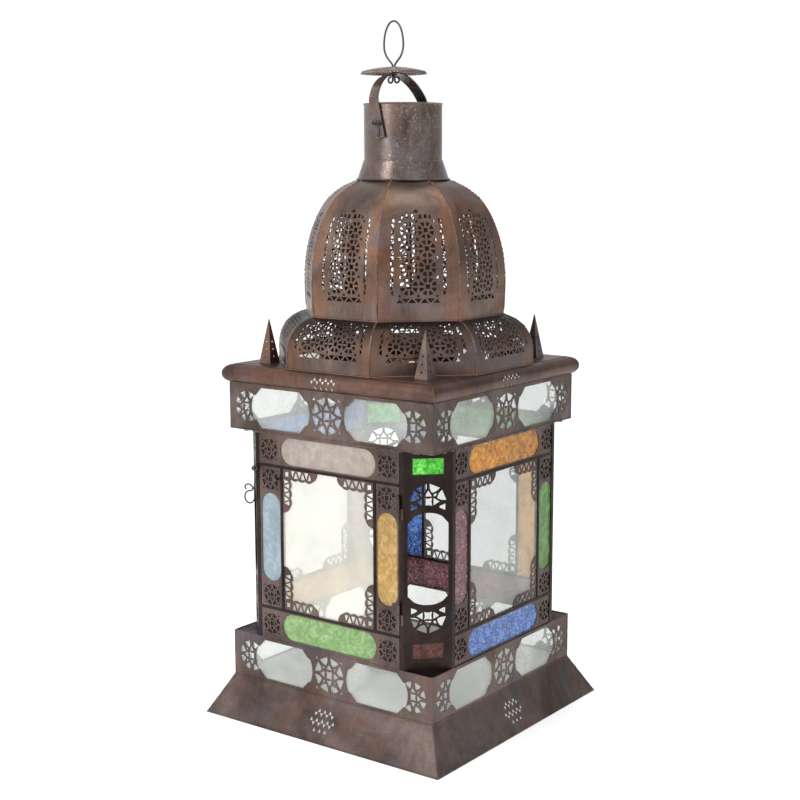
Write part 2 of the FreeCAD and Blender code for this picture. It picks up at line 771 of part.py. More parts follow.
def dome_profile(tier):
    apothem, height = tier.at(tier.length)
    stretches = []
    for radius, turn in (dome_belly, dome_flank, dome_shoulder):
        stretches.append((radius * math.radians(turn), math.radians(turn)))
    return Profile(apothem, height, math.radians(dome_lean), stretches)


def tapered(profile, holes):
    """Draw holes in towards the facet's middle as the facet narrows."""
    return [[(x * profile.taper(s), s) for x, s in hole] for hole in holes]


# holes over the dome's stars: distance from the middle, rise, height, half widths at foot and head
dome_crown = ((4.6, 2.6, 5.0, 2.9, 1.6), (11.0, 3.4, 4.6, 2.2, 1.2), (16.4, 2.8, 4.2, 1.8, 0.8))


def small_star(x, z, cell):
    """Star and a ring of eight wedges that fill a square cell."""
    u = cell / 2 / 19.0
    holes = [star(x, z, 7.4 * u)]
    for k in range(8):
        holes.append(shield(x, z, math.radians(22.5 + 45 * k), ((8.8 * u, 1.7 * u), (17.9 * u, 5.3 * u))))
    return holes


def star_field(low, cell, columns, rows):
    """Small stars in columns and rows about x = 0, with a diamond between every four of them."""
    holes = []
    left = -cell * columns / 2
    for row in range(rows):
        for column in range(columns):
            holes += small_star(left + (column + 0.5) * cell, low + (row + 0.5) * cell, cell)
    for row in range(rows + 1):
        for column in range(columns + 1):
            inside = 0 < row < rows and 0 < column < columns
            holes.append(star(left + column * cell, low + row * cell, cell * (0.15 if inside else 0.11)))
    return holes


def tier_holes(profile):
    """Two rows of small stars over a row of triangles, with a column of triangles at each end."""
    low = tier_lattice_foot
    star_low = low + lattice_row + 2.4
    top = star_low + star_rows[1] * tier_cell
    holes = zigzag((-tier_lattice_half + 2, low), (tier_lattice_half - 2, low), lattice_row, 13)
    holes += star_field(star_low, tier_cell, star_columns[1], star_rows[1])
    for side in (-1, 1):
        foot_x = side * (tier_lattice_half + 1.6)
        holes += zigzag((foot_x, star_low), (foot_x - side * 1.2, top), side * -lattice_column, 6, 2.2)
    return tapered(profile, holes)


def dome_holes(profile):
    """Small stars between two columns of triangles, over a row, under a pointed group."""
    low = dome_lattice_foot
    first = low + lattice_row + 2.4
    top = first + star_rows[0] * dome_cell
    holes = zigzag((-dome_lattice_half + 1, low), (dome_lattice_half - 1, low), lattice_row, 7)
    holes += star_field(first, dome_cell, star_columns[0], star_rows[0])
    for side in (-1, 1):
        x = side * (dome_lattice_half + 1.8)
        holes += zigzag((x, first), (x, top + 4.0), side * -lattice_column, 13, 2.0)
        for across, rise, height, near, far in dome_crown:
            holes.append(spoke(side * across, top + rise, math.radians(90), 0, height, near, far))
    holes.append(spoke(0, top + 9.6, math.radians(90), 0, 4.2, 3.6, 0.8))
    return tapered(profile, holes)


def facets(panel):
    """The eight facets from the one drawn towards -Y."""
    return [at_angle(panel, 0, k * 360 / sides) for k in range(sides)]


# ================================================================ neck
def neck_collar(dome):
    """Cone from a flat foot on the dome up to the neck tube."""
    opening, low = dome.at(dome.length)
    cone = neck_radius + collar_flare
    high = low + collar_height
    return turned([
        (opening - 2.0, low), (cone + collar_brim, low), (cone + collar_brim, low + sheet), (cone, low + sheet),
        (neck_radius + sheet, high), (neck_radius, high), (cone - 1.6 * sheet, low + 2 * sheet),
        (opening - 2.0, low + 2 * sheet)])


def neck_levels(dome):
    """Foot, rim and pivot heights of the neck tube."""
    low = dome.at(dome.length)[1] + collar_height - 2 * sheet
    rim = low + 2 * sheet + neck_height - 2
    return low, rim, rim - pivot_drop


def neck_tube(dome):
    """Open tube with a rolled rim and a hole for each bail pin."""
    low, rim, pivot = neck_levels(dome)
    wall = tube(neck_radius, neck_radius - sheet, low, rim)
    bead = Part.makeTorus(neck_radius, neck_bead, V(0, 0, rim - neck_bead))
    hole = Part.makeCylinder(pin_radius, 4 * neck_radius, V(0, -2 * neck_radius, pivot), V(0, 1, 0))
    return wall.fuse(bead).cut(hole)


def bail_pins(dome):
    """Headed pins through the neck's wall, one at each side."""
    pivot = neck_levels(dome)[2]
    inner = neck_radius - sheet - 3.0
    strap_inside = neck_radius + neck_bead + loose_gap
    outer = strap_inside + strap_thick + loose_gap
    pins = []
    for side in (-1, 1):
        direction = V(0, side, 0)
        pin = Part.makeCylinder(pin_radius, outer - inner, V(0, side * inner, pivot), direction)
        head = Part.makeCylinder(pin_radius + 1.6, 1.4, V(0, side * outer, pivot), direction)
        tail = Part.makeCylinder(pin_radius + 1.2, 1.2, V(0, side * (inner - 1.2), pivot), direction)
        pins.append(pin.fuse([head, tail]))
    return pins


def leaned(shape, pivot):
    """Tip a bail piece to its resting lean, about the pins."""
    tipped = shape.copy()
    tipped.rotate(V(0, 0, pivot), V(0, 1, 0), -bail_lean)
    return tipped


def bail_strap(dome):
    """Flat strap: upright legs outside the neck, round corners and a shallow arch."""
    low, rim, pivot = neck_levels(dome)
    inside = neck_radius + neck_bead + loose_gap
    spring = rim + 1.0
    centre_y = inside - strap_corner
    big = (centre_y ** 2 + strap_rise ** 2 - strap_corner ** 2) / (2 * (strap_rise - strap_corner))
    big_z = spring + strap_rise - big
    reach = big - strap_corner
    lean_y, lean_z = centre_y / reach, (spring - big_z) / reach

    def line(offset):
        """Points of the arch at an offset from its inside: leg foot, spring, corner, crown."""
        small, large = strap_corner + offset, big + offset
        join = (centre_y + small * lean_y, spring + small * lean_z)
        half_turn = math.atan2(lean_z, lean_y) / 2
        corner = (centre_y + small * math.cos(half_turn), spring + small * math.sin(half_turn))
        return inside + offset, corner, join, (0.0, big_z + large)

    edges = []
    foot = pivot - strap_tail
    ends = []
    for offset in (0.0, strap_thick):
        leg, corner, join, crown = line(offset)
        for side in (-1, 1):
            edges.append(Part.makeLine(V(0, side * leg, foot), V(0, side * leg, spring)))
            edges.append(Part.Arc(V(0, side * leg, spring), V(0, side * corner[0], corner[1]),
                                  V(0, side * join[0], join[1])).toShape())
        edges.append(Part.Arc(V(0, -join[0], join[1]), V(0, 0, crown[1]), V(0, join[0], join[1])).toShape())
        ends.append(leg)
    for side in (-1, 1):
        edges.append(Part.makeLine(V(0, side * ends[0], foot), V(0, side * ends[1], foot)))
    section = Part.Face(Part.Wire(Part.__sortEdges__(edges)))
    section.translate(V(-strap_width / 2, 0, 0))
    strap = section.extrude(V(strap_width, 0, 0))
    pin_hole = Part.makeCylinder(pin_radius + turning_gap, 6 * inside, V(0, -3 * inside, pivot), V(0, 1, 0))
    wire_hole = Part.makeCylinder(strap_hole, 4 * strap_thick, V(0, 0, big_z + big - strap_thick))
    return leaned(strap.cut(pin_hole).cut(wire_hole), pivot)


def crown_place(dome):
    """Middle of the strap's outside at its crown, at rest."""
    low, rim, pivot = neck_levels(dome)
    reach = rim + 1.0 + strap_rise + strap_thick - pivot
    lean = math.radians(bail_lean)
    return V(-reach * math.sin(lean), 0, pivot + reach * math.cos(lean))


def rain_disc(place):
    """Shallow cap with a turned-down edge, threaded on the hanging wire."""
    low = disc_lift
    hole = 2 * wire_radius + 2 * loose_gap
    rim = disc_radius
    cap = turned([
        (hole, low + disc_rise), (rim * 0.55, low + disc_rise * 0.8), (rim - 1.5, low + 1.0),
        (rim, low + 1.0 - disc_rim), (rim + sheet, low + 1.0 - disc_rim), (rim - 0.7, low + 1.0 + sheet),
        (rim * 0.55, low + disc_rise * 0.8 + sheet), (hole, low + disc_rise + sheet)])
    cap.translate(place)
    return cap


def hanging_loop(place):
    """Bent wire: an almond-shaped loop whose legs go down through the strap and curl into two eyes."""
    leg = wire_radius + 0.1
    neck = disc_lift + disc_rise + 2.0
    under = -strap_thick - loop_drop
    turn = 2 * loop_eye
    half_points = [
        (leg + turn * 0.62, under - 0.2), (leg + turn, under - 0.2), (leg + turn, under - turn),
        (leg, under - turn), (leg, neck + 1.5), (loop_half * 1.1, neck + loop_height * 0.45),
        (loop_half * 0.95, neck + loop_height * 0.98)]
    left = [(-x, 0, z) for x, z in half_points]
    right = [(x, 0, z) for x, z in reversed(half_points)]
    bend = loop_eye - 0.2
    bends = [1.6, bend, bend, 6.0, 24.0, 9.0, 9.0, 24.0, 6.0, bend, bend, 1.6]
    wire = bent_wire(left + right, bends, wire_radius)
    wire.translate(place)
    return wire


# ================================================================ door furniture
hinge_x = door_half + door_gap / 2
hinge_y = -half - knuckle_radius - loose_gap
hinge_levels = (panel_bottom + hinge_inset, panel_top - hinge_inset)
latch_x = -(face_half - sheet - 0.5)
latch_z = panel_top - latch_drop


def hinge_leaf(level, on_door):
    """Leaf and barrel of one hinge: the upper barrel is the door's, the lower one the body's."""
    if on_door:
        low, high = level + loose_gap / 2, level + knuckle_length
        reach = (hinge_x - leaf_width, hinge_x - door_gap)
        bore = hinge_pin_radius + turning_gap
    else:
        low, high = level - knuckle_length, level - loose_gap / 2
        reach = (hinge_x + door_gap, face_half - loose_gap)
        bore = hinge_pin_radius
    plate_part = box(reach, (-half - sheet, -half), (low, high))
    inner = hinge_x - door_gap if on_door else hinge_x + door_gap
    web = box((min(inner, hinge_x), max(inner, hinge_x)), (hinge_y, -half - loose_gap), (low, high))
    barrel = Part.makeCylinder(knuckle_radius, high - low, V(hinge_x, hinge_y, low))
    core = Part.makeCylinder(bore, high - low, V(hinge_x, hinge_y, low))
    return plate_part.fuse([web, barrel]).cut(core)


def hinge_pins():
    """Headed pins, fixed in the body's barrels."""
    pins = []
    for level in hinge_levels:
        low = level - knuckle_length
        length = 2 * knuckle_length + loose_gap
        pin = Part.makeCylinder(hinge_pin_radius, length, V(hinge_x, hinge_y, low))
        head = Part.makeSphere(knuckle_radius * 0.9, V(hinge_x, hinge_y, low + length + knuckle_radius * 0.7))
        pins.append(pin.fuse(head))
    return pins


def stud(x, z, reach):
    """Headed stud standing out of the front."""
    shank = Part.makeCylinder(latch_stud, reach, V(x, -half, z), V(0, -1, 0))
    head = Part.makeCylinder(2 * latch_stud, 1.0, V(x, -half - reach, z), V(0, -1, 0))
    return shank.fuse(head)


def latch_hook():
    """Bent wire on a stud: a ring, a shank and two curls that stand clear of the corner."""
    y = -half - stud_reach / 2
    ring_radius = latch_stud + loose_gap + latch_wire
    ring = Part.makeTorus(ring_radius, latch_wire, V(0, 0, 0), V(0, 1, 0))
    points = [
        (0, 0, -ring_radius), (-1.0, 0, -12.0), (-8.0, 0, -19.0), (-26.0, 0, -17.5), (-26.0, 0, -29.0),
        (-12.0, 0, -30.5), (-9.5, 0, -41.0), (-25.5, 0, -41.5), (-25.5, 0, -31.5), (-16.0, 0, -30.5)]
    bends = [7.0, 5.0, 5.0, 5.0, 5.0, 5.0, 5.0, 4.0]
    shank = bent_wire(points[:6], bends[:4], latch_wire)
    curl = bent_wire(points[5:], bends[5:8], latch_wire)
    elbow = Part.makeSphere(latch_wire, V(*points[5]))
    hook = ring.fuse([shank, elbow, curl])
    hook.translate(V(latch_x, y, latch_z))
    return hook


# ================================================================ nodes
def export(name, solids):
    shape = solids[0] if len(solids) == 1 else Part.makeCompound(solids)
    shape.exportStep("parts/" + name + ".step")


def build():
    nodes = {}
    nodes["base_skirt_panels"] = skirt_panels()
    nodes["base_floor_pan"] = [floor_pan()]
    nodes["candle_saucer"] = [candle_saucer()]
    nodes["candle_cup"] = [candle_cup()]

    for name, low in (("lower", skirt_height), ("upper", panel_top)):
        panel = band_panel(low)
        for side, turn in faces.items():
            nodes[name + "_band_" + side] = [at_angle(panel, 0, turn)]
    nodes["band_panes"] = band_panes()
    nodes["band_glass_clips"] = band_clips()

    panel = corner_panel()
    corners = ("front_right", "back_right", "back_left", "front_left")
    for corner, turn in zip(corners, faces.values()):
        nodes["corner_panel_" + corner] = [at_angle(panel, 0, turn)]
    nodes["corner_glass_green"] = corner_glass(panel_top - corner_cell / 2)
    nodes["corner_glass_red"] = corner_glass(panel_bottom + corner_cell / 2 + corner_foot_lift)
    nodes["corner_ledges"] = corner_ledges()

    fixed = frame_pieces(frame_half, panel_bottom, panel_top)
    glass = frame_glass(frame_half, panel_bottom, panel_top)
    strips = frame_cames(frame_half, panel_bottom, panel_top, face_half - post_lap - seat_gap)
    colours = {
        "right": {"top": "orange", "left": "rose", "right": "green", "foot": "blue"},
        "back": {"top": "green", "left": "amber", "right": "blue", "foot": "rose"},
        "left": {"top": "blue", "left": "rose", "right": "green", "foot": "orange"},
    }
    nodes["side_cames"] = []
    for side, by_place in colours.items():
        turn = faces[side]
        nodes["side_frame_" + side] = [at_angle(piece, side_plane, turn) for piece in fixed]
        nodes["side_pane_" + side] = [at_angle(glass["middle"], side_plane, turn)]
        nodes["side_cames"] += [at_angle(strip, side_plane, turn) for strip in strips]
        for place, colour in by_place.items():
            nodes.setdefault("side_glass_" + colour, []).append(at_angle(glass[place], side_plane, turn))

    low, high = panel_bottom + door_gap, panel_top - door_top_gap
    nodes["door_frame"] = [at_angle(piece, half, 0) for piece in frame_pieces(door_half, low, high)]
    nodes["door_cames"] = [at_angle(piece, half, 0) for piece in frame_cames(door_half, low, high, door_half)]
    names = {"top": "pink", "left": "blue", "right": "amber", "foot": "green", "middle": "clear"}
    for place, piece in frame_glass(door_half, low, high).items():
        nodes["door_glass_" + names[place]] = [at_angle(piece, half, 0)]
    nodes["door_hinge_leaves"] = [hinge_leaf(level, True) for level in hinge_levels]
    nodes["body_hinge_leaves"] = [hinge_leaf(level, False) for level in hinge_levels]
    nodes["hinge_pins"] = hinge_pins()
    nodes["door_keeper"] = [stud(latch_x + keeper_reach, latch_z - keeper_drop, stud_reach)]
    nodes["latch_stud"] = [stud(latch_x, latch_z, stud_reach)]
    nodes["latch_hook"] = [latch_hook()]

    nodes["cornice"] = cornice()
    nodes["roof_plates"] = roof_plates()
    nodes["corner_finials"] = finials()

    tier = tier_profile()
    dome = dome_profile(tier)
    nodes["tier_panels"] = facets(tier.facet_panel(tier_holes(tier)))
    nodes["dome_panels"] = facets(dome.facet_panel(dome_holes(dome)))
    nodes["neck_collar"] = [neck_collar(dome)]
    nodes["neck_tube"] = [neck_tube(dome)]
    nodes["bail_pins"] = bail_pins(dome)
    nodes["bail_strap"] = [bail_strap(dome)]
    place = crown_place(dome)
    nodes["rain_disc"] = [rain_disc(place)]
    nodes["hanging_loop"] = [hanging_loop(place)]
    return nodes


os.makedirs("parts", exist_ok=True)
for node, solids in build().items():
    export(node, solids)
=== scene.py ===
import math
import random

import bmesh
import bpy
from mathutils import Matrix, Vector, noise


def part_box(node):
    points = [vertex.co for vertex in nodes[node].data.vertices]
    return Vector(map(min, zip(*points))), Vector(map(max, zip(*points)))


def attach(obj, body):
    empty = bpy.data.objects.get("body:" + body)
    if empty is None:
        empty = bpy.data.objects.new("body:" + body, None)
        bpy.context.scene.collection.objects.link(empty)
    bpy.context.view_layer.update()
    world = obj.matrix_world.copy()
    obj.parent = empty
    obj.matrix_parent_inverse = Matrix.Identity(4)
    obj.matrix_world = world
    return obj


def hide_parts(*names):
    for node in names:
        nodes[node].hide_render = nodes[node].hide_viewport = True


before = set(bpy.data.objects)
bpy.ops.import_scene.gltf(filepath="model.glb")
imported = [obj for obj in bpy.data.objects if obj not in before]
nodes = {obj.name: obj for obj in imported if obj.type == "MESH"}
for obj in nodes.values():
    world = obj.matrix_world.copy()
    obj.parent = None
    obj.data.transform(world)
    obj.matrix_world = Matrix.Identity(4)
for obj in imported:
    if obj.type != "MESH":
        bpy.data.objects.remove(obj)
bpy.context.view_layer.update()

# A square, stained-glass candle lantern in pierced sheet metal: its looks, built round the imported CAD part. Metres.

BODY = "lantern_body"
MM = 0.001
SIDES = 8  # of the tier and dome
HALF_FACET = math.pi / SIDES
QUARTER = math.pi / 2
QUARTERS = [Matrix.Rotation(QUARTER * turn, 3, "Z") for turn in range(4)]
UP = Vector((0, 0, 1))
PANE_POINTS = 24  # vertices of one flat pane in a CAD mesh: six faces of four
# the dark strip behind each medallion is painted shade, put in place of the glass
MEDALLION = 28.0 * MM  # length of the dark strip behind each pierced medallion of a frame
CORNER_CELL = 33.5 * MM  # height of a corner panel's glazed cell
SEAM_STEP = 3 * MM


# ================================================================ materials
def add_node(tree, kind, inputs=None, **settings):
    """A shader node with its inputs set to values or linked to other nodes' sockets."""
    made = tree.nodes.new("ShaderNode" + kind)
    for key, value in settings.items():
        setattr(made, key, value)
    for key, value in (inputs or {}).items():
        if isinstance(value, bpy.types.NodeSocket):
            tree.links.new(value, made.inputs[key])
        else:
            made.inputs[key].default_value = value
    return made


def srgb(code):
    """Linear colour from a hex code."""
    values = [int(code[i:i + 2], 16) / 255 for i in (0, 2, 4)]
    return tuple(v / 12.92 if v <= 0.04045 else ((v + 0.055) / 1.055) ** 2.4 for v in values) + (1.0,)


class Shader:
    """A material's node tree, built from small steps."""

    def __init__(self, name):
        self.material = bpy.data.materials.new(name)
        self.material.use_nodes = True
        self.tree = self.material.node_tree
        self.tree.nodes.clear()
        self.output = self.tree.nodes.new("ShaderNodeOutputMaterial")
        self.place = self.tree.nodes.new("ShaderNodeTexCoord").outputs["Object"]

    def node(self, kind, inputs=None, **settings):
        return add_node(self.tree, kind, inputs, **settings)

    def stretch(self, scale):
        return self.node("Mapping", {"Vector": self.place, "Scale": scale}).outputs["Vector"]

    def noise(self, scale, detail=3.0, rough=0.55, distortion=0.0, vector=None):
        return self.node("TexNoise", {
            "Vector": vector or self.place, "Scale": scale, "Detail": detail,
            "Roughness": rough, "Distortion": distortion}).outputs["Fac"]

    def ramp(self, value, stops):
        """Colours or greys by place along a ramp."""
        made = self.node("ValToRGB", {"Fac": value})
        points = made.color_ramp.elements
        while len(points) < len(stops):
            points.new(0.5)
        for point, (place, colour) in zip(points, stops):
            point.position = place
            point.color = colour if isinstance(colour, tuple) else (colour, colour, colour, 1.0)
        return made.outputs["Color"]

    def mix(self, share, first, second, blend="MIX"):
        """Two colours mixed. 0, 6, 7 and output 2 are the Mix node's sockets for colour."""
        return self.node("Mix", {0: share, 6: first, 7: second},
                         data_type="RGBA", blend_type=blend, clamp_factor=True).outputs[2]

    def spread(self, value, low, high, to_low, to_high):
        """A value's range low..high spread over another range."""
        return self.node("MapRange", {
            "Value": value, "From Min": low, "From Max": high, "To Min": to_low, "To Max": to_high}).outputs["Result"]

    def calc(self, first, operation, *second):
        return self.node("Math", dict(enumerate((first, *second))), operation=operation).outputs["Value"]

    def bump(self, height, distance, strength=1.0, normal=None):
        inputs = {"Height": height, "Distance": distance, "Strength": strength}
        if normal:
            inputs["Normal"] = normal
        return self.node("Bump", inputs).outputs["Normal"]

    def edges(self, radius):
        """1 where the surface turns sharply within radius, 0 where it is flat."""
        rounded = self.node("Bevel", {"Radius": radius}, samples=4).outputs["Normal"]
        flat = self.node("NewGeometry").outputs["True Normal"]
        facing = self.node("VectorMath", {0: rounded, 1: flat}, operation="DOT_PRODUCT").outputs["Value"]
        return self.spread(facing, 0.985, 0.75, 0.0, 1.0)

    def finish(self, **inputs):
        """The material, once its shader's inputs are given with _ for a space."""
        named = {key.replace("_", " "): value for key, value in inputs.items()}
        shader = self.node("BsdfPrincipled", named)
        self.tree.links.new(shader.outputs["BSDF"], self.output.inputs["Surface"])
        return self.material


def aged_metal(name, shades, warm, cool, worn, gloss=(0.34, 0.56), patch=11.0, wear=0.55, warmth=0.5, worn_and_glint_flecks=0.0,
               painted_shade_range=None, facet_heat=0.0):
    """Sheet browned by heat: broad stains, copper and blue-grey heat tints, fine grain, dents and rubbed edges.

    speckle adds pale flecks, partly patches worn to silver and partly painted highlight; grime a (low, high) range of
    height darkened by painted shade; and facet_heat a warm tint towards the edges of the eight facets.
    """
    s = Shader(name)
    broad = s.noise(patch, 4.0, 0.6, 0.9)
    stains = s.ramp(broad, [(0.30, shades[0]), (0.48, shades[1]), (0.62, shades[2]), (0.78, shades[1])])
    heat = s.noise(patch * 0.75, 3.0, 0.55, 1.6, s.stretch((1.0, 1.0, 0.7)))
    stains = s.mix(s.ramp(heat, [(0.52, 0.0), (0.66, warmth), (0.74, warmth * 0.5), (0.85, 0.0)]), stains, warm)
    if facet_heat:
        place = s.node("SeparateXYZ", {"Vector": s.place})
        turn = s.calc(place.outputs["Y"], "ARCTAN2", place.outputs["X"])
        facets = s.calc(s.calc(turn, "DIVIDE", 2 * HALF_FACET), "ADD", 0.5)
        edge = s.calc(s.calc(s.calc(facets, "FLOORED_MODULO", 1.0), "SUBTRACT", 0.5), "ABSOLUTE")
        tint = s.calc(s.spread(edge, 0.26, 0.5, 0.0, facet_heat), "MULTIPLY", s.spread(broad, 0.35, 0.6, 0.25, 1.0))
        stains = s.mix(tint, stains, warm)
    chill = s.noise(patch * 1.3, 3.0, 0.5, 1.1)
    stains = s.mix(s.ramp(chill, [(0.54, 0.0), (0.70, 0.55)]), stains, cool)
    streak = s.noise(6.0, 4.0, 0.65, 0.3, s.stretch((22.0, 22.0, 3.0)))
    stains = s.mix(0.5, stains, s.ramp(streak, [(0.25, 0.55), (0.55, 1.0), (0.8, 1.35)]), "MULTIPLY")
    grain = s.noise(620.0, 3.0, 0.7)
    stains = s.mix(0.45, stains, s.ramp(grain, [(0.30, 0.55), (0.5, 1.0), (0.72, 1.5)]), "MULTIPLY")
    rubbed = s.calc(s.edges(0.9 * MM), "MULTIPLY", s.ramp(s.noise(150.0, 3.0), [(0.35, 0.25), (0.65, 1.0)]))
    stains = s.mix(s.calc(rubbed, "MULTIPLY", wear), stains, worn)
    # pale silver flecks in patches: partly wear to bare metal, partly painted highlight speckles
    if worn_and_glint_flecks:
        worn_and_glint = s.ramp(s.noise(330.0, 3.0, 0.6), [(0.56, 0.0), (0.64, 1.0)])
        zone = s.ramp(s.noise(24.0, 2.0, 0.5, 0.4, s.stretch((1.0, 1.0, 0.35))), [(0.44, 0.0), (0.58, worn_and_glint_flecks)])
        stains = s.mix(s.calc(worn_and_glint, "MULTIPLY", zone), stains, srgb("C6C0B8"))
    # painted shade: the sheet darkens across a band of height, for the shade under the dome's foot on the tier
    if painted_shade_range:
        height = s.node("SeparateXYZ", {"Vector": s.place}).outputs["Z"]
        shade_amount = s.spread(height, painted_shade_range[0], painted_shade_range[1], 0.0, 0.85)
        stains = s.mix(shade_amount, stains, srgb("1D1613"))
    dull = s.spread(s.noise(38.0, 4.0, 0.6), 0.3, 0.7, *gloss)
    dents = s.bump(s.noise(26.0, 2.0, 0.5), 1.1 * MM, 0.5)
    pits = s.bump(grain, 0.12 * MM, 0.45, dents)
    return s.finish(Base_Color=stains, Metallic=0.82, Roughness=dull, Normal=pits)


def clear_glass(name, film, alpha):
    """Plain window glass under a film of dust; the film's tones also carry painted light where a copy is lighter."""
    s = Shader(name)
    dust = s.noise(14.0, 5.0, 0.6, 0.6)
    tone = s.mix(s.ramp(dust, [(0.3, 0.0), (0.7, 1.0)]), film[0], film[1])
    veil = s.spread(dust, 0.3, 0.7, alpha[0], alpha[1])
    wave = s.bump(s.noise(9.0, 2.0, 0.4), 1.4 * MM, 0.25)
    return s.finish(Base_Color=tone, Alpha=veil, Roughness=0.09, IOR=1.5, Normal=wave)


def cast_glass(name, shades, scale, swirl, lines=0.0, painted_glints=0.0, transmission=0.45, relief=0.5, glow=0.0):
    """Coloured glass: cloudy shades from deep to light, wavy dark lines and small bright flecks, painted glints of
    light sparkling through the roll.

    glow stands in for the daylight that comes through it.
    """
    s = Shader(name)
    cloud = s.noise(scale, 3.0, 0.55, swirl)
    deep, mid, light = shades
    colour = s.ramp(cloud, [(0.32, deep), (0.5, mid), (0.68, light)])
    broad = s.noise(14.0, 2.0, 0.5)
    colour = s.mix(0.6, colour, s.ramp(broad, [(0.3, 0.78), (0.62, 1.12)]), "MULTIPLY")
    ridge = s.noise(scale * 1.6, 2.0, 0.5, 1.4, s.stretch((1.0, 1.0, 1.5)))
    if lines:
        crest = s.spread(ridge, 0.47, 0.5, 0.0, 1.0)
        fall = s.spread(ridge, 0.5, 0.53, 1.0, 0.0)
        thread = s.calc(crest, "MULTIPLY", fall)
        colour = s.mix(s.calc(thread, "MULTIPLY", lines), colour, tuple(c * 0.35 for c in deep[:3]) + (1.0,))
    # painted glints: near-white flecks for light sparkling through the glass
    if painted_glints:
        glint_spots = s.ramp(s.noise(520.0, 2.0, 0.6), [(0.60, 0.0), (0.68, painted_glints)])
        colour = s.mix(glint_spots, colour, srgb("F4F2F0"))
    face = s.bump(ridge, relief * MM, 0.7)
    return s.finish(Base_Color=colour, Transmission_Weight=transmission, Roughness=0.2, IOR=1.45, Normal=face,
                    Emission_Color=colour, Emission_Strength=glow)


def soft_metal(name, dark, bright, scale, gloss, metallic=0.9, glow=0.0):
    """Plain metal with a grain: galvanised sheet, drawn wire or the candle's holder; glow is painted light."""
    s = Shader(name)
    flakes = s.node("TexVoronoi", {"Vector": s.place, "Scale": scale}).outputs["Color"]
    mixed = s.node("SeparateColor", {"Color": flakes}).outputs["Red"]
    cloud = s.noise(scale * 0.2, 4.0)
    share = s.calc(s.calc(mixed, "MULTIPLY", 0.4), "ADD", s.calc(cloud, "MULTIPLY", 0.6))
    tone = s.mix(share, dark, bright)
    dull = s.spread(cloud, 0.3, 0.7, *gloss)
    return s.finish(Base_Color=tone, Metallic=metallic, Roughness=dull, Normal=s.bump(cloud, 0.3 * MM, 0.3),
                    Emission_Color=tone, Emission_Strength=glow)


sheet = aged_metal("aged_sheet", (srgb("3F3430"), srgb("5B4C47"), srgb("6F5F59")), srgb("74523F"), srgb("595760"),
                   srgb("91867D"), warmth=0.3)
dark_sheet = aged_metal("corner_sheet", (srgb("1C1412"), srgb("2A201C"), srgb("372B26")), srgb("3A2820"),
                        srgb("2C2A30"), srgb("75675E"), wear=0.35, warmth=0.3)
copper_sheet = aged_metal("cornice_sheet", (srgb("3F302B"), srgb("5B443B"), srgb("705348")), srgb("7E5442"),
                          srgb("5C565C"), srgb("A08D7B"), gloss=(0.3, 0.48), warmth=0.5)
dome_sheet = aged_metal("dome_sheet", (srgb("453832"), srgb("64534B"), srgb("78665B")), srgb("8E5C40"),
                        srgb("6A6872"), srgb("9A8B7C"), gloss=(0.28, 0.46), patch=13.0, warmth=0.4, facet_heat=0.55)
# the neck's pale flecks: wear and painted highlight speckles
neck_sheet = aged_metal("neck_sheet", (srgb("4D413B"), srgb("6B5D56"), srgb("7E706A")), srgb("80645A"),
                        srgb("6D6A72"), srgb("A29890"), gloss=(0.22, 0.38), patch=15.0, warmth=0.4, worn_and_glint_flecks=0.22)
# the tier darkens towards its top: painted shade under the dome's foot
tier_sheet = aged_metal("tier_sheet", (srgb("403530"), srgb("5E4F48"), srgb("706057")), srgb("825842"),
                        srgb("605E68"), srgb("95877A"), warmth=0.4, painted_shade_range=(0.424, 0.446), facet_heat=0.5)
seam_metal = aged_metal("solder", (srgb("453A34"), srgb("62544C"), srgb("78695F")), srgb("7A5C4A"),
                        srgb("6C6C70"), srgb("A09488"), gloss=(0.3, 0.5), patch=60.0, warmth=0.4)
came_metal = aged_metal("came_sheet", (srgb("1A1412"), srgb("261F1C"), srgb("322A26")), srgb("3A2920"),
                        srgb("2E2C31"), srgb("6E645B"), wear=0.25, warmth=0.2)
galvanised = soft_metal("galvanised_sheet", srgb("CDCFCA"), srgb("F0F0EA"), 120.0, (0.4, 0.6), 0.15)
# a pale sheet that glows: painted light seen through the cornice's holes
glowing_sheet = soft_metal("pale_glowing_sheet", srgb("C9CAC6"), srgb("F1F0EA"), 90.0, (0.5, 0.7), 0.0, glow=0.5)
wire = soft_metal("steel_wire", srgb("34302D"), srgb("67615C"), 900.0, (0.25, 0.45))
holder = soft_metal("holder_sheet", srgb("6E5A4C"), srgb("9C8674"), 160.0, (0.3, 0.5))

# the door's clear glass is lighter, warmer and more opaque than the sides': painted light, the key light on the front
clear = clear_glass("glass_clear", (srgb("BCC2BD"), srgb("DBDED6")), (0.22, 0.36))
band_clear = clear_glass("glass_band", (srgb("CCD4D2"), srgb("F0F1E8")), (0.20, 0.34))
door_clear = clear_glass("glass_door_clear", (srgb("E6E5D8"), srgb("F6F3E4")), (0.36, 0.50))
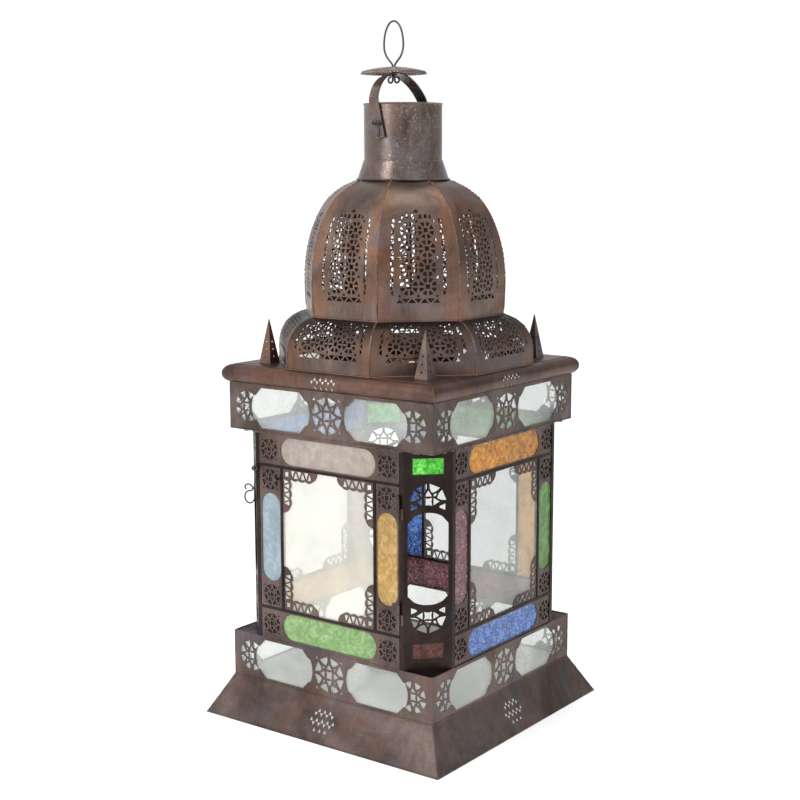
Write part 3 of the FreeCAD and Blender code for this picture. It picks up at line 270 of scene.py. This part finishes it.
# the door's coloured glass: its own colour with a painted reflection of the strong front light, pale and milky
pink = cast_glass("glass_door_pink", (srgb("978A80"), srgb("A2958B"), srgb("AEA197")), 90.0, 0.6, transmission=0.1,
                  relief=0.25)
pale_blue = cast_glass("glass_door_blue", (srgb("7E8E99"), srgb("8C9BA5"), srgb("9EABB2")), 70.0, 0.8,
                       transmission=0.12, relief=0.25)
door_amber = cast_glass("glass_door_amber", (srgb("A8813F"), srgb("BC9550"), srgb("D2AF72")), 120.0, 1.0, lines=0.3,
                        transmission=0.2)
door_green = cast_glass("glass_door_green", (srgb("729858"), srgb("84A868"), srgb("A0C288")), 130.0, 1.2, lines=0.2,
                        transmission=0.2)
orange = cast_glass("glass_orange", (srgb("8A5206"), srgb("C4810E"), srgb("E6A630")), 95.0, 1.5, lines=0.85,
                    transmission=0.5, glow=0.16)
rose = cast_glass("glass_rose", (srgb("54313A"), srgb("74464F"), srgb("94646C")), 110.0, 1.0, painted_glints=0.6,
                  transmission=0.5, glow=0.14)
green = cast_glass("glass_green", (srgb("466E32"), srgb("5C8A40"), srgb("7CAA5A")), 110.0, 1.0, lines=0.45,
                   transmission=0.5, glow=0.12)
blue = cast_glass("glass_blue", (srgb("274E92"), srgb("3F6CB4"), srgb("6C98DA")), 130.0, 0.8, painted_glints=0.95,
                  transmission=0.5, glow=0.12)
amber = cast_glass("glass_amber", (srgb("B07C28"), srgb("D09C40"), srgb("E4B460")), 100.0, 1.0, lines=0.3,
                   transmission=0.45, glow=0.3)
corner_green = cast_glass("glass_corner_green", (srgb("2C8A1E"), srgb("4CC834"), srgb("90F070")), 190.0, 0.8,
                          lines=1.0, transmission=0.3, glow=0.2)
corner_red = cast_glass("glass_corner_red", (srgb("35130F"), srgb("5A231D"), srgb("86443A")), 190.0, 0.8, lines=0.6,
                        transmission=0.35)
# dark sheet behind the medallions' holes: painted shade
medallion_shade = aged_metal("medallion_shade_sheet", (srgb("29211E"), srgb("392F2B"), srgb("463A35")), srgb("4C3529"),
                     srgb("38363B"), srgb("6E645B"), wear=0.2, warmth=0.2)


# ================================================================ pieces
def piece(name, forms, material, body=BODY, slot="aged_sheet", replaced=()):
    """Forms as one named piece that rides on a body."""
    mesh = build(name, forms)
    made = bpy.data.objects.new(name, mesh)
    bpy.context.scene.collection.objects.link(made)
    mesh.materials.append(material)
    for face in mesh.polygons:
        face.use_smooth = True
    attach(made, body)
    if replaced:
        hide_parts(*replaced)


def build(name, forms):
    """One mesh from a list of (points, faces)."""
    points, faces = [], []
    for some_points, some_faces in forms:
        start = len(points)
        points += [tuple(p) for p in some_points]
        faces += [tuple(start + i for i in face) for face in some_faces]
    mesh = bpy.data.meshes.new(name)
    mesh.from_pydata(points, [], faces)
    work = bmesh.new()
    work.from_mesh(mesh)
    bmesh.ops.recalc_face_normals(work, faces=work.faces)
    work.to_mesh(mesh)
    work.free()
    return mesh


def wrap_faces(rings, bands, round_steps):
    """Four-sided faces of a number of bands between rings of points; past the last ring comes the first."""
    faces = []
    for i in range(bands):
        for k in range(round_steps):
            a, b = i * round_steps + k, i * round_steps + (k + 1) % round_steps
            c, d = (i + 1) % rings * round_steps + (k + 1) % round_steps, (i + 1) % rings * round_steps + k
            faces.append((a, b, c, d))
    return faces


def plate_faces(columns, rows):
    """Faces of a plate from its front grid of points, its back grid and the rim between them."""
    wide = columns + 1
    back = wide * (rows + 1)
    faces = []
    for j in range(rows):
        for i in range(columns):
            a = j * wide + i
            faces.append((a, a + 1, a + wide + 1, a + wide))
            faces.append((back + a, back + a + wide, back + a + wide + 1, back + a + 1))
    rim = list(range(wide)) + [(j + 1) * wide - 1 for j in range(1, rows + 1)]
    rim += [rows * wide + i for i in range(columns - 1, -1, -1)] + [j * wide for j in range(rows - 1, 0, -1)]
    faces += [(a, a + back, b + back, b) for a, b in zip(rim, rim[1:] + rim[:1])]
    return faces


def tube_form(path, radius, closed=False, round_steps=10, wobble=0.0, up=UP):
    """Tube along points. wobble varies its radius, as solder does. up must not run along the path's start."""
    path = [Vector(p) for p in path]
    count = len(path)
    points = []
    side = None
    for i, here in enumerate(path):
        before = path[i - 1] if i or closed else here
        after = path[(i + 1) % count] if i + 1 < count or closed else here
        along = (after - before).normalized()
        if side is None:
            side = along.cross(up)
            if side.length < 1e-3:
                side = along.cross(Vector((1, 0, 0)))
        side = (side - along * side.dot(along)).normalized()
        other = along.cross(side)
        size = radius * (1 + wobble * noise.noise(here * 180.0))
        for k in range(round_steps):
            turn = 2 * math.pi * k / round_steps
            points.append(here + side * (size * math.cos(turn)) + other * (size * math.sin(turn)))
    faces = wrap_faces(count, count if closed else count - 1, round_steps)
    if not closed:
        faces.append(tuple(range(round_steps))[::-1])
        faces.append(tuple((count - 1) * round_steps + k for k in range(round_steps)))
    return points, faces


def line(start, end, step=4 * MM):
    """Points along a straight run."""
    start, end = Vector(start), Vector(end)
    count = max(2, int((end - start).length / step) + 1)
    return [start.lerp(end, i / (count - 1)) for i in range(count)]


def around(points, turns, offset):
    """The same path at each of a number of equal turns about Z."""
    for k in range(turns):
        spin = Matrix.Rotation(offset + 2 * math.pi * k / turns, 3, "Z")
        yield [spin @ Vector(p) for p in points]


def silhouette(node, bearing):
    """Outermost (radius, height) pairs of a node's vertices at a bearing, the same on every facet, from the foot up."""
    facet = 2 * HALF_FACET
    tolerance = 0.004  # radians
    outer = {}
    for v in nodes[node].data.vertices:
        angle = math.atan2(v.co.y, v.co.x)
        if abs((angle - bearing + facet / 2) % facet - facet / 2) < tolerance:
            level = round(v.co.z, 4)
            outer[level] = max(outer.get(level, 0.0), math.hypot(v.co.x, v.co.y))
    return [(radius, level) for level, radius in sorted(outer.items())]


def slabs(node):
    """(middle, along, outward, half length, half depth, half height) of each flat pane in a node."""
    points = [v.co.copy() for v in nodes[node].data.vertices]
    for start in range(0, len(points), PANE_POINTS):
        block = points[start:start + PANE_POINTS]
        middle = sum(block, Vector()) / len(block)
        low = min(p.z for p in block)
        base = []
        for p in block:
            if p.z < low + 1e-5 and all((p - q).length > 1e-5 for q in base):
                base.append(p)
        depth, length = sorted((q - base[0] for q in base[1:]), key=lambda span: span.length)[:2]
        outward = depth.normalized()
        if outward.dot(Vector((middle.x, middle.y, 0))) < 0:
            outward = -outward
        along = outward.cross(UP)
        yield middle, along, outward, length.length / 2, depth.length / 2, middle.z - low


def rolled_pane(middle, along, outward, half_length, half_depth, half_height, seed, step=1.6 * MM):
    """A pane whose outer face is wrinkled inwards and whose inner face is nearly flat."""
    relief = 0.45 * MM
    fade = 2 * MM  # no wrinkles at the edge
    columns = max(4, round(2 * half_length / step))
    rows = max(4, round(2 * half_height / step))
    points = []
    for side in (1, -1):
        for j in range(rows + 1):
            for i in range(columns + 1):
                u = (2 * i / columns - 1) * half_length
                w = (2 * j / rows - 1) * half_height
                here = middle + along * u + UP * w
                edge = min(half_length - abs(u), half_height - abs(w))
                amount = relief * min(1.0, edge / fade) * (1.0 if side > 0 else 0.25)
                wrinkle = 0.5 + 0.5 * noise.noise(here * 210.0 + Vector((seed, 0, 0)))
                points.append(here + outward * side * (half_depth - amount * wrinkle))
    return points, plate_faces(columns, rows)


def box_of(node):
    """Low corner, high corner and middle of a node's box."""
    low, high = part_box(node)
    return low, high, (low + high) / 2


# ---------------------------------------------------------------- finishes of the CAD nodes, whose shapes stay
by_prefix = {
    "base_skirt": sheet, "lower_band": sheet, "upper_band": sheet, "side_frame": sheet, "door_frame": sheet,
    "corner_panel": dark_sheet, "corner_ledges": dark_sheet, "cornice": copper_sheet, "roof_plates": copper_sheet,
    "corner_finials": dome_sheet, "tier_panels": tier_sheet, "dome_panels": dome_sheet, "neck_": neck_sheet,
    "bail_strap": neck_sheet, "bail_pins": wire, "side_cames": came_metal, "door_cames": came_metal,
    "band_glass_clips": came_metal, "door_hinge": sheet, "body_hinge": sheet, "hinge_pins": sheet,
    "door_keeper": wire, "latch_": wire, "hanging_loop": wire, "base_floor_pan": galvanised,
    "candle_": holder, "band_panes": band_clear, "side_pane": clear, "door_glass_clear": door_clear,
}
for node in nodes:
    for prefix, material in by_prefix.items():
        if node.startswith(prefix):
            for slot in nodes[node].material_slots:
                slot.material = material

# ---------------------------------------------------------------- wrinkled glass, with dark strips of painted shade behind medallions
coloured = {
    "door_glass_pink": (pink, "door"), "door_glass_blue": (pale_blue, "door"), "door_glass_amber": (door_amber, "door"),
    "door_glass_green": (door_green, "door"), "side_glass_orange": (orange, BODY), "side_glass_rose": (rose, BODY),
    "side_glass_green": (green, BODY), "side_glass_blue": (blue, BODY), "side_glass_amber": (amber, BODY),
    "corner_glass_green": (corner_green, BODY), "corner_glass_red": (corner_red, BODY),
}
shade_strips = {"door": [], BODY: []}
for order, (node, (material, body)) in enumerate(coloured.items()):
    forms = []
    for k, (middle, along, outward, half_length, half_depth, half_height) in enumerate(slabs(node)):
        seed = 17.0 * order + k
        if node.startswith("corner") or outward.x < -0.5 or outward.y > 0.5:
            forms.append(rolled_pane(middle, along, outward, half_length, half_depth, half_height, seed))
            continue
        # on the front and right faces the glass stops short of each medallion, and a dark strip of painted shade fills
        # the rest
        level = half_length > half_height
        reach = (half_length if level else half_height) - MEDALLION
        strip = MEDALLION / 2 - 0.3 * MM
        pane_size, strip_size, way = (
            ((reach, half_depth, half_height), (strip, half_depth, half_height), along) if level else
            ((half_length, half_depth, reach), (half_length, half_depth, strip), UP))
        forms.append(rolled_pane(middle, along, outward, *pane_size, seed))
        for side in (-1, 1):
            centre = middle + way * side * (reach + MEDALLION / 2 + 0.2 * MM)
            shade_strips[body].append(rolled_pane(centre, along, outward, *strip_size, 3.0 * k, 4 * MM))
    # Blender numbers a material whose name the frame has already; the number is cut off here
    piece("rolled_" + node, forms, material, body, material.name.split(".")[0], (node,))

for body, forms in shade_strips.items():
    piece("medallion_shade_strips_" + body, forms, medallion_shade, body)

# ---------------------------------------------------------------- seams of the tier and dome
for node, name in (("tier_panels", "tier_seams"), ("dome_panels", "dome_seams")):
    radius = 0.9 * MM
    rib = [(r - 0.35 * radius, 0, z) for r, z in silhouette(node, HALF_FACET)]
    forms = []
    for path in around(rib, SIDES, HALF_FACET):
        dense = [p for a, b in zip(path, path[1:]) for p in line(a, b, SEAM_STEP)[:-1]] + path[-1:]
        forms.append(tube_form(dense, radius, wobble=0.35, up=Vector((-dense[0].y, dense[0].x, 0))))
    piece(name, forms, seam_metal)


# ---------------------------------------------------------------- beads, hems and solder
def ring(radius, z, count=120):
    """Points round the Z axis."""
    return [(radius * math.cos(2 * math.pi * k / count), radius * math.sin(2 * math.pi * k / count), z)
            for k in range(count)]


def octagon(node, level):
    """A node's eight-sided outline at a level of its silhouette: 0 at its foot."""
    radius, z = silhouette(node, HALF_FACET)[level]
    turns = [HALF_FACET + k * QUARTER / 2 for k in range(SIDES)]
    corners = [(radius * math.cos(turn), radius * math.sin(turn), z) for turn in turns]
    return [p for a, b in zip(corners, corners[1:] + corners[:1]) for p in line(a, b, SEAM_STEP)[:-1]]


collar_low, collar_high, _ = box_of("neck_collar")
neck_radius = silhouette("neck_tube", 0.0)[0][0]
forms = [
    tube_form(ring(neck_radius + 0.4 * MM, collar_high.z - 0.2 * MM), 0.8 * MM, closed=True, wobble=0.15),
    tube_form(ring(collar_high.x - 0.2 * MM, collar_low.z + 1.0 * MM), 0.7 * MM, closed=True, wobble=0.15),
]
piece("neck_beads", forms, neck_sheet)
forms = [tube_form(octagon("dome_panels", 0), 1.2 * MM, closed=True, wobble=0.15),
         tube_form(octagon("tier_panels", 0), 1.1 * MM, closed=True, wobble=0.2)]
piece("roof_hems", forms, dome_sheet)

# corner panels: raised lines down each edge, in pairs at the cells, and at head and foot
panel_low, panel_high, _ = box_of("corner_panel_front_right")
_, _, red_middle = box_of("corner_glass_red")
near = Vector((panel_low.x, panel_low.y, 0))
far = Vector((panel_high.x, panel_high.y, 0))
span_way = (far - near).normalized()
post_half = (far - near).length / 2
post_middle = (near + far) / 2


def on_post(s, z):
    """A point on the front right corner panel: s across from its middle, at height z."""
    return post_middle + span_way * s + Vector((0, 0, z))


upper_line, lower_line = panel_high.z - CORNER_CELL, red_middle.z + CORNER_CELL / 2
runs = []
for side in (-1, 1):
    for inset, radius in ((1.3, 0.9), (4.6, 0.6)):
        s_at = side * (post_half - inset * MM)
        runs.append((line(on_post(s_at, panel_low.z + 1 * MM), on_post(s_at, panel_high.z - 1 * MM)), radius))
for z, radius in ((upper_line + 1.2 * MM, 0.8), (upper_line - 1.2 * MM, 0.6), (lower_line + 1.2 * MM, 0.6),
                  (lower_line - 1.2 * MM, 0.8), (panel_high.z - 2.4 * MM, 0.8), (panel_low.z + 2.4 * MM, 1.0),
                  (panel_low.z + 5.0 * MM, 0.6)):
    runs.append((line(on_post(-post_half + 2 * MM, z), on_post(post_half - 2 * MM, z)), radius))
forms = [tube_form([spin @ p for p in path], radius * MM, wobble=0.2) for spin in QUARTERS for path, radius in runs]
piece("corner_lines", forms, sheet)

# seams at the bands' and skirt's corners and along their edges
band_low, band_high, _ = box_of("upper_band_front")
low_band_low, low_band_high, _ = box_of("lower_band_front")
_, skirt_high, _ = box_of("base_skirt_panels")
body_half = band_high.x


def at_corner(half, z, side=1):
    """A point at a square's front right corner, or its front left one with side -1."""
    return Vector((side * half, -half, z))


def along_edge(z):
    return line((-body_half, -body_half + 0.1 * MM, z), (body_half, -body_half + 0.1 * MM, z))


corner_half = body_half - 0.3 * MM
hem_half = skirt_high.x - 1.1 * MM
runs = [
    (line(at_corner(corner_half, band_low.z), at_corner(corner_half, band_high.z)), 0.8, 0.3),
    (line(at_corner(corner_half, low_band_low.z), at_corner(corner_half, low_band_high.z)), 0.8, 0.3),
    (line(at_corner(skirt_high.x - 2.0 * MM, 2.0 * MM),
          at_corner(body_half - 0.2 * MM, skirt_high.z - 0.5 * MM)), 1.0, 0.4),
    (along_edge(low_band_low.z), 1.0, 0.15),
    (along_edge(low_band_high.z), 0.8, 0.2),
    (along_edge(band_low.z), 0.8, 0.2),
    (line(at_corner(hem_half, 1.1 * MM, -1), at_corner(hem_half, 1.1 * MM)), 0.9, 0.1),
]
forms = [tube_form([spin @ p for p in path], radius * MM, wobble=wobble)
         for spin in QUARTERS for path, radius, wobble in runs]
piece("body_seams", forms, sheet)

# rough bits of solder under the upper band
rng = random.Random(5)
forms = []
for spin in QUARTERS:
    x = -body_half + 20 * MM
    while x < body_half - 20 * MM:
        length = rng.uniform(2, 9) * MM
        path = [Vector((x + length * k / 4, -body_half + 0.2 * MM, band_low.z - rng.uniform(0.6, 1.8) * MM))
                for k in range(5)]
        forms.append(tube_form([spin @ p for p in path], rng.uniform(0.5, 0.9) * MM, wobble=0.6))
        x += length + rng.uniform(1, 12) * MM
piece("solder_bits", forms, seam_metal)

# pale sheet that glows behind the cornice's pierced clusters, painted light seen through the holes:
# part of a round trough, a square grid with as many steps each way
GLOWING_SHEET_STEPS = 8
GLOWING_SHEET_HALF = 22 * MM
GLOWING_SHEET_RADIUS = 8.2 * MM
_, cornice_high, cornice_middle = box_of("cornice")
points = []
for depth in (0.0, 0.5 * MM):
    for j in range(GLOWING_SHEET_STEPS + 1):
        angle = -0.42 * math.pi + 0.84 * math.pi * j / GLOWING_SHEET_STEPS
        y = -(cornice_high.x - 10 * MM) - GLOWING_SHEET_RADIUS * math.cos(angle)
        z = cornice_middle.z + GLOWING_SHEET_RADIUS * math.sin(angle)
        for i in range(GLOWING_SHEET_STEPS + 1):
            points.append(Vector(((2 * i / GLOWING_SHEET_STEPS - 1) * GLOWING_SHEET_HALF, y + depth, z)))
forms = [([spin @ p for p in points], plate_faces(GLOWING_SHEET_STEPS, GLOWING_SHEET_STEPS)) for spin in QUARTERS]
piece("cornice_glowing_sheet", forms, glowing_sheet, slot="galvanised_sheet")


# ---------------------------------------------------------------- bent wire and the crimped disc
def bezier(knots, steps=12):
    """Points along cubic pieces: start, handle, handle, end, handle, handle, end and so on."""
    knots = [Vector(k) for k in knots]
    path = [knots[0]]
    for i in range(0, len(knots) - 3, 3):
        a, b, c, d = knots[i:i + 4]
        for k in range(1, steps + 1):
            t = k / steps
            path.append(a * (1 - t) ** 3 + b * (3 * t * (1 - t) ** 2) + c * (3 * t * t * (1 - t)) + d * t ** 3)
    return path


def arc(x, z, radius, start, end, steps=18):
    """Points round a centre in the XZ plane, in degrees."""
    return [Vector((x + radius * math.cos(math.radians(start + (end - start) * k / steps)), 0,
                    z + radius * math.sin(math.radians(start + (end - start) * k / steps)))) for k in range(steps + 1)]


def through(knots, steps=6):
    """Smooth curve through points."""
    ends = [knots[0]] + list(knots) + [knots[-1]]
    path = [knots[0]]
    for a, b, c, d in zip(ends, ends[1:], ends[2:], ends[3:]):
        for k in range(1, steps + 1):
            t = k / steps
            path.append((b * 2 + (c - a) * t + (a * 2 - b * 5 + c * 4 - d) * t * t
                         + (b * 3 - a - c * 3 + d) * t ** 3) * 0.5)
    return path


# the hanging loop: a curled eye, a leg up through the strap and the disc, half an oval, and the same mirrored
disc_low, disc_high, disc_middle = box_of("rain_disc")
loop_low, loop_high, _ = box_of("hanging_loop")
crown = Vector((disc_middle.x, 0, disc_low.z + 0.8 * MM))
gauge = (loop_high.y - loop_low.y) / 2
leg = 1.35 * MM
eye = 3.0 * MM
eye_z = -6.9 * MM
half_width = 13.0 * MM
top_z = loop_high.z - crown.z - gauge
half_path = arc(-leg - eye, eye_z, eye, 80, 360)
half_path += bezier([(-leg, 0, eye_z + 1 * MM), (-leg, 0, -1 * MM), (-leg, 0, 4 * MM), (-leg, 0, 8 * MM),
                     (-2.2 * MM, 0, 13 * MM), (-half_width, 0, 16 * MM), (-half_width, 0, 30 * MM),
                     (-half_width, 0, 43 * MM), (-8.0 * MM, 0, top_z), (0, 0, top_z)])
whole = half_path + [Vector((-p.x, 0, p.z)) for p in half_path[-2::-1]]
piece("wire_loop", [tube_form([p + crown for p in whole], gauge, round_steps=12, up=Vector((0, 1, 0)))],
      wire, "hanging_loop", "steel_wire", ("hanging_loop",))

# the disc: a flat round its hole, a slope down to the bend, and a crimped rim; (radius, height, depth of the crimps)
TEETH = 56
SLOPE_STEPS = 8
outer = (disc_high.y - disc_low.y) / 2 - 0.15 * MM
height = disc_high.z - disc_low.z
top = height - 0.15 * MM
hole = 2.9 * MM
flat_end = hole + 3 * MM
bend = outer - 3.2 * MM
profile = [(hole, top, 0.0), (flat_end, top, 0.0)]
for k in range(1, SLOPE_STEPS + 1):
    share = k / SLOPE_STEPS
    profile.append((flat_end + (bend - flat_end) * share, top - (height - 3.6 * MM) * share ** 1.6, 0.0))
profile += [(bend + 1.5 * MM, 2.9 * MM, 0.3), (outer - 0.7 * MM, 1.8 * MM, 0.7), (outer - 0.1 * MM, 0.5 * MM, 1.0)]
underside = [(r, max(z - 0.55 * MM, 0.0), crimp) for r, z, crimp in profile]
rows = profile + underside[::-1]
round_steps = TEETH * 8
points = []
for r, z, crimp in rows:
    for k in range(round_steps):
        turn = 2 * math.pi * k / round_steps
        fold = 1 - math.cos(TEETH * turn)
        radius = r - crimp * 0.55 * MM * fold
        points.append((disc_middle.x + radius * math.cos(turn), radius * math.sin(turn),
                       disc_low.z + max(0.0, z + crimp * 0.35 * MM * fold)))
piece("crimped_disc", [(points, wrap_faces(len(rows), len(rows), round_steps))], neck_sheet, "rain_disc",
      "dark_sheet_top", ("rain_disc",))

# the latch: an eye on its stud, a straight drop, a bowl and a curl; knots are (x, z) from the stud in mm
_, _, stud = box_of("latch_stud")
hook_low, hook_high, hook = box_of("latch_hook")
latch_gauge = (hook_high.y - hook_low.y) / 2
lowest = latch_gauge - (stud.z - hook_low.z)
knots = [(0.8, -8.0), (-0.6, -15.0), (-1.7, -21.0), (-1.6, -29.0), (-2.0, -35.0), (-5.2, -38.9), (-9.4, -40.2),
         (-13.9, -38.4), (-15.8, -34.5), (-14.8, -30.0), (-11.0, -27.0), (-6.2, -26.0), (-4.0, -23.2), (-6.0, -20.4),
         (-10.0, -19.2), (-14.2, -20.6), (-15.4, -23.4), (-13.8, -25.6)]
path = arc(0, 0, 2.6 * MM, 150, -90)
path += through([path[-1]] + [Vector((x * MM, 0, max(z * MM, lowest))) for x, z in knots])[1:]
hang = Vector((stud.x, hook.y, stud.z))
piece("latch_wire", [tube_form([p + hang for p in path], latch_gauge, up=Vector((0, 1, 0)))],
      wire, "latch_hook", "steel_wire", ("latch_hook",))

# the bail's pins: wire through strap and neck, curled outside, with a tail that hangs
_, pin_high, pin = box_of("bail_pins")
start = pin_high.y - 2.2 * MM
curl = 4.2 * MM
path = [Vector((0, neck_radius - 4 * MM, 0)), Vector((0, start - 2 * MM, 0))]
for degrees in range(0, 346, 15):
    swing = math.radians(degrees)
    out = curl * (1 - math.cos(swing))
    path.append(Vector((-curl * math.sin(swing), start + 0.8 * out, 0.55 * out)))
path += [Vector((1.6 * MM, start + 0.4 * MM, -3 * MM)), Vector((1.0 * MM, start + 0.8 * MM, -12 * MM))]
forms = [tube_form([Vector((p.x, side * p.y, pin.z + p.z)) for p in path], 1.05 * MM, up=Vector((1, 0, 0)))
         for side in (-1, 1)]
piece("curled_pins", forms, wire, replaced=("bail_pins",), slot="steel_wire")

# ---------------------------------------------------------------- camera, at the photo's viewing angle
camera_data = bpy.data.cameras.new("camera")
camera_data.lens = 66.3
camera_data.sensor_width = 36.0
camera = bpy.data.objects.new("camera", camera_data)
bpy.context.scene.collection.objects.link(camera)
camera.location = (0.9652, -1.3064, 0.6098)
aim = Vector((-0.0032, -0.0024, 0.351))
roll = math.radians(-0.13)
look = (aim - camera.location).to_track_quat("-Z", "Y").to_matrix().to_4x4()
camera.rotation_euler = (look @ Matrix.Rotation(roll, 4, "Z")).to_euler()
bpy.context.scene.camera = camera


# ---------------------------------------------------------------- light and floor
def area_light(name, place, aim_at, size, power):
    data = bpy.data.lights.new(name, "AREA")
    data.shape = "RECTANGLE"
    data.size, data.size_y = size
    data.energy = power
    lamp = bpy.data.objects.new(name, data)
    bpy.context.scene.collection.objects.link(lamp)
    lamp.location = place
    lamp.rotation_euler = (Vector(aim_at) - Vector(place)).to_track_quat("-Z", "Y").to_euler()


area_light("key", (-0.5, -2.3, 1.5), (0, 0, 0.35), (0.9, 1.8), 26)
area_light("fill", (2.4, -1.0, 1.2), (0, 0, 0.35), (0.6, 1.6), 3)
area_light("top", (0.0, 0.3, 2.6), (0, 0, 0.4), (1.6, 1.6), 12)

# soft light from all round, stronger from the upper front left; what shows of it behind the lantern is plain white
world = bpy.data.worlds.new("studio")
bpy.context.scene.world = world
world.use_nodes = True
tree = world.node_tree
tree.nodes.clear()
direction = add_node(tree, "TexCoord").outputs["Generated"]
lean = add_node(tree, "VectorMath", {0: direction, 1: (-0.62, -0.62, 0.48)}, operation="DOT_PRODUCT").outputs["Value"]
strength = add_node(tree, "MapRange", {
    "Value": lean, "From Min": -1.0, "From Max": 1.0, "To Min": 0.45, "To Max": 1.05}).outputs["Result"]
light = add_node(tree, "Background", {"Color": (0.96, 0.98, 1.0, 1), "Strength": strength}).outputs["Background"]
seen = add_node(tree, "Background", {"Color": (1, 1, 1, 1), "Strength": 1.0}).outputs["Background"]
shown = add_node(tree, "LightPath").outputs["Is Camera Ray"]
choice = add_node(tree, "MixShader", {0: shown, 1: light, 2: seen}).outputs["Shader"]
add_node(tree, "OutputWorld", {"Surface": choice})

bpy.ops.mesh.primitive_plane_add(size=40.0, location=(0, 0, -0.0002))
floor = bpy.context.object
floor.name = "floor"
paper = Shader("floor_paper")
shade = paper.ramp(paper.noise(3.0, 3.0), [(0.3, (0.93, 0.93, 0.93, 1)), (0.7, (0.96, 0.96, 0.96, 1))])
floor.data.materials.append(paper.finish(
    Base_Color=shade, Roughness=0.6, Emission_Color=(1, 1, 1, 1), Emission_Strength=0.35))

bpy.context.scene.view_settings.view_transform = "Standard"
bpy.context.scene.view_settings.look = "None"
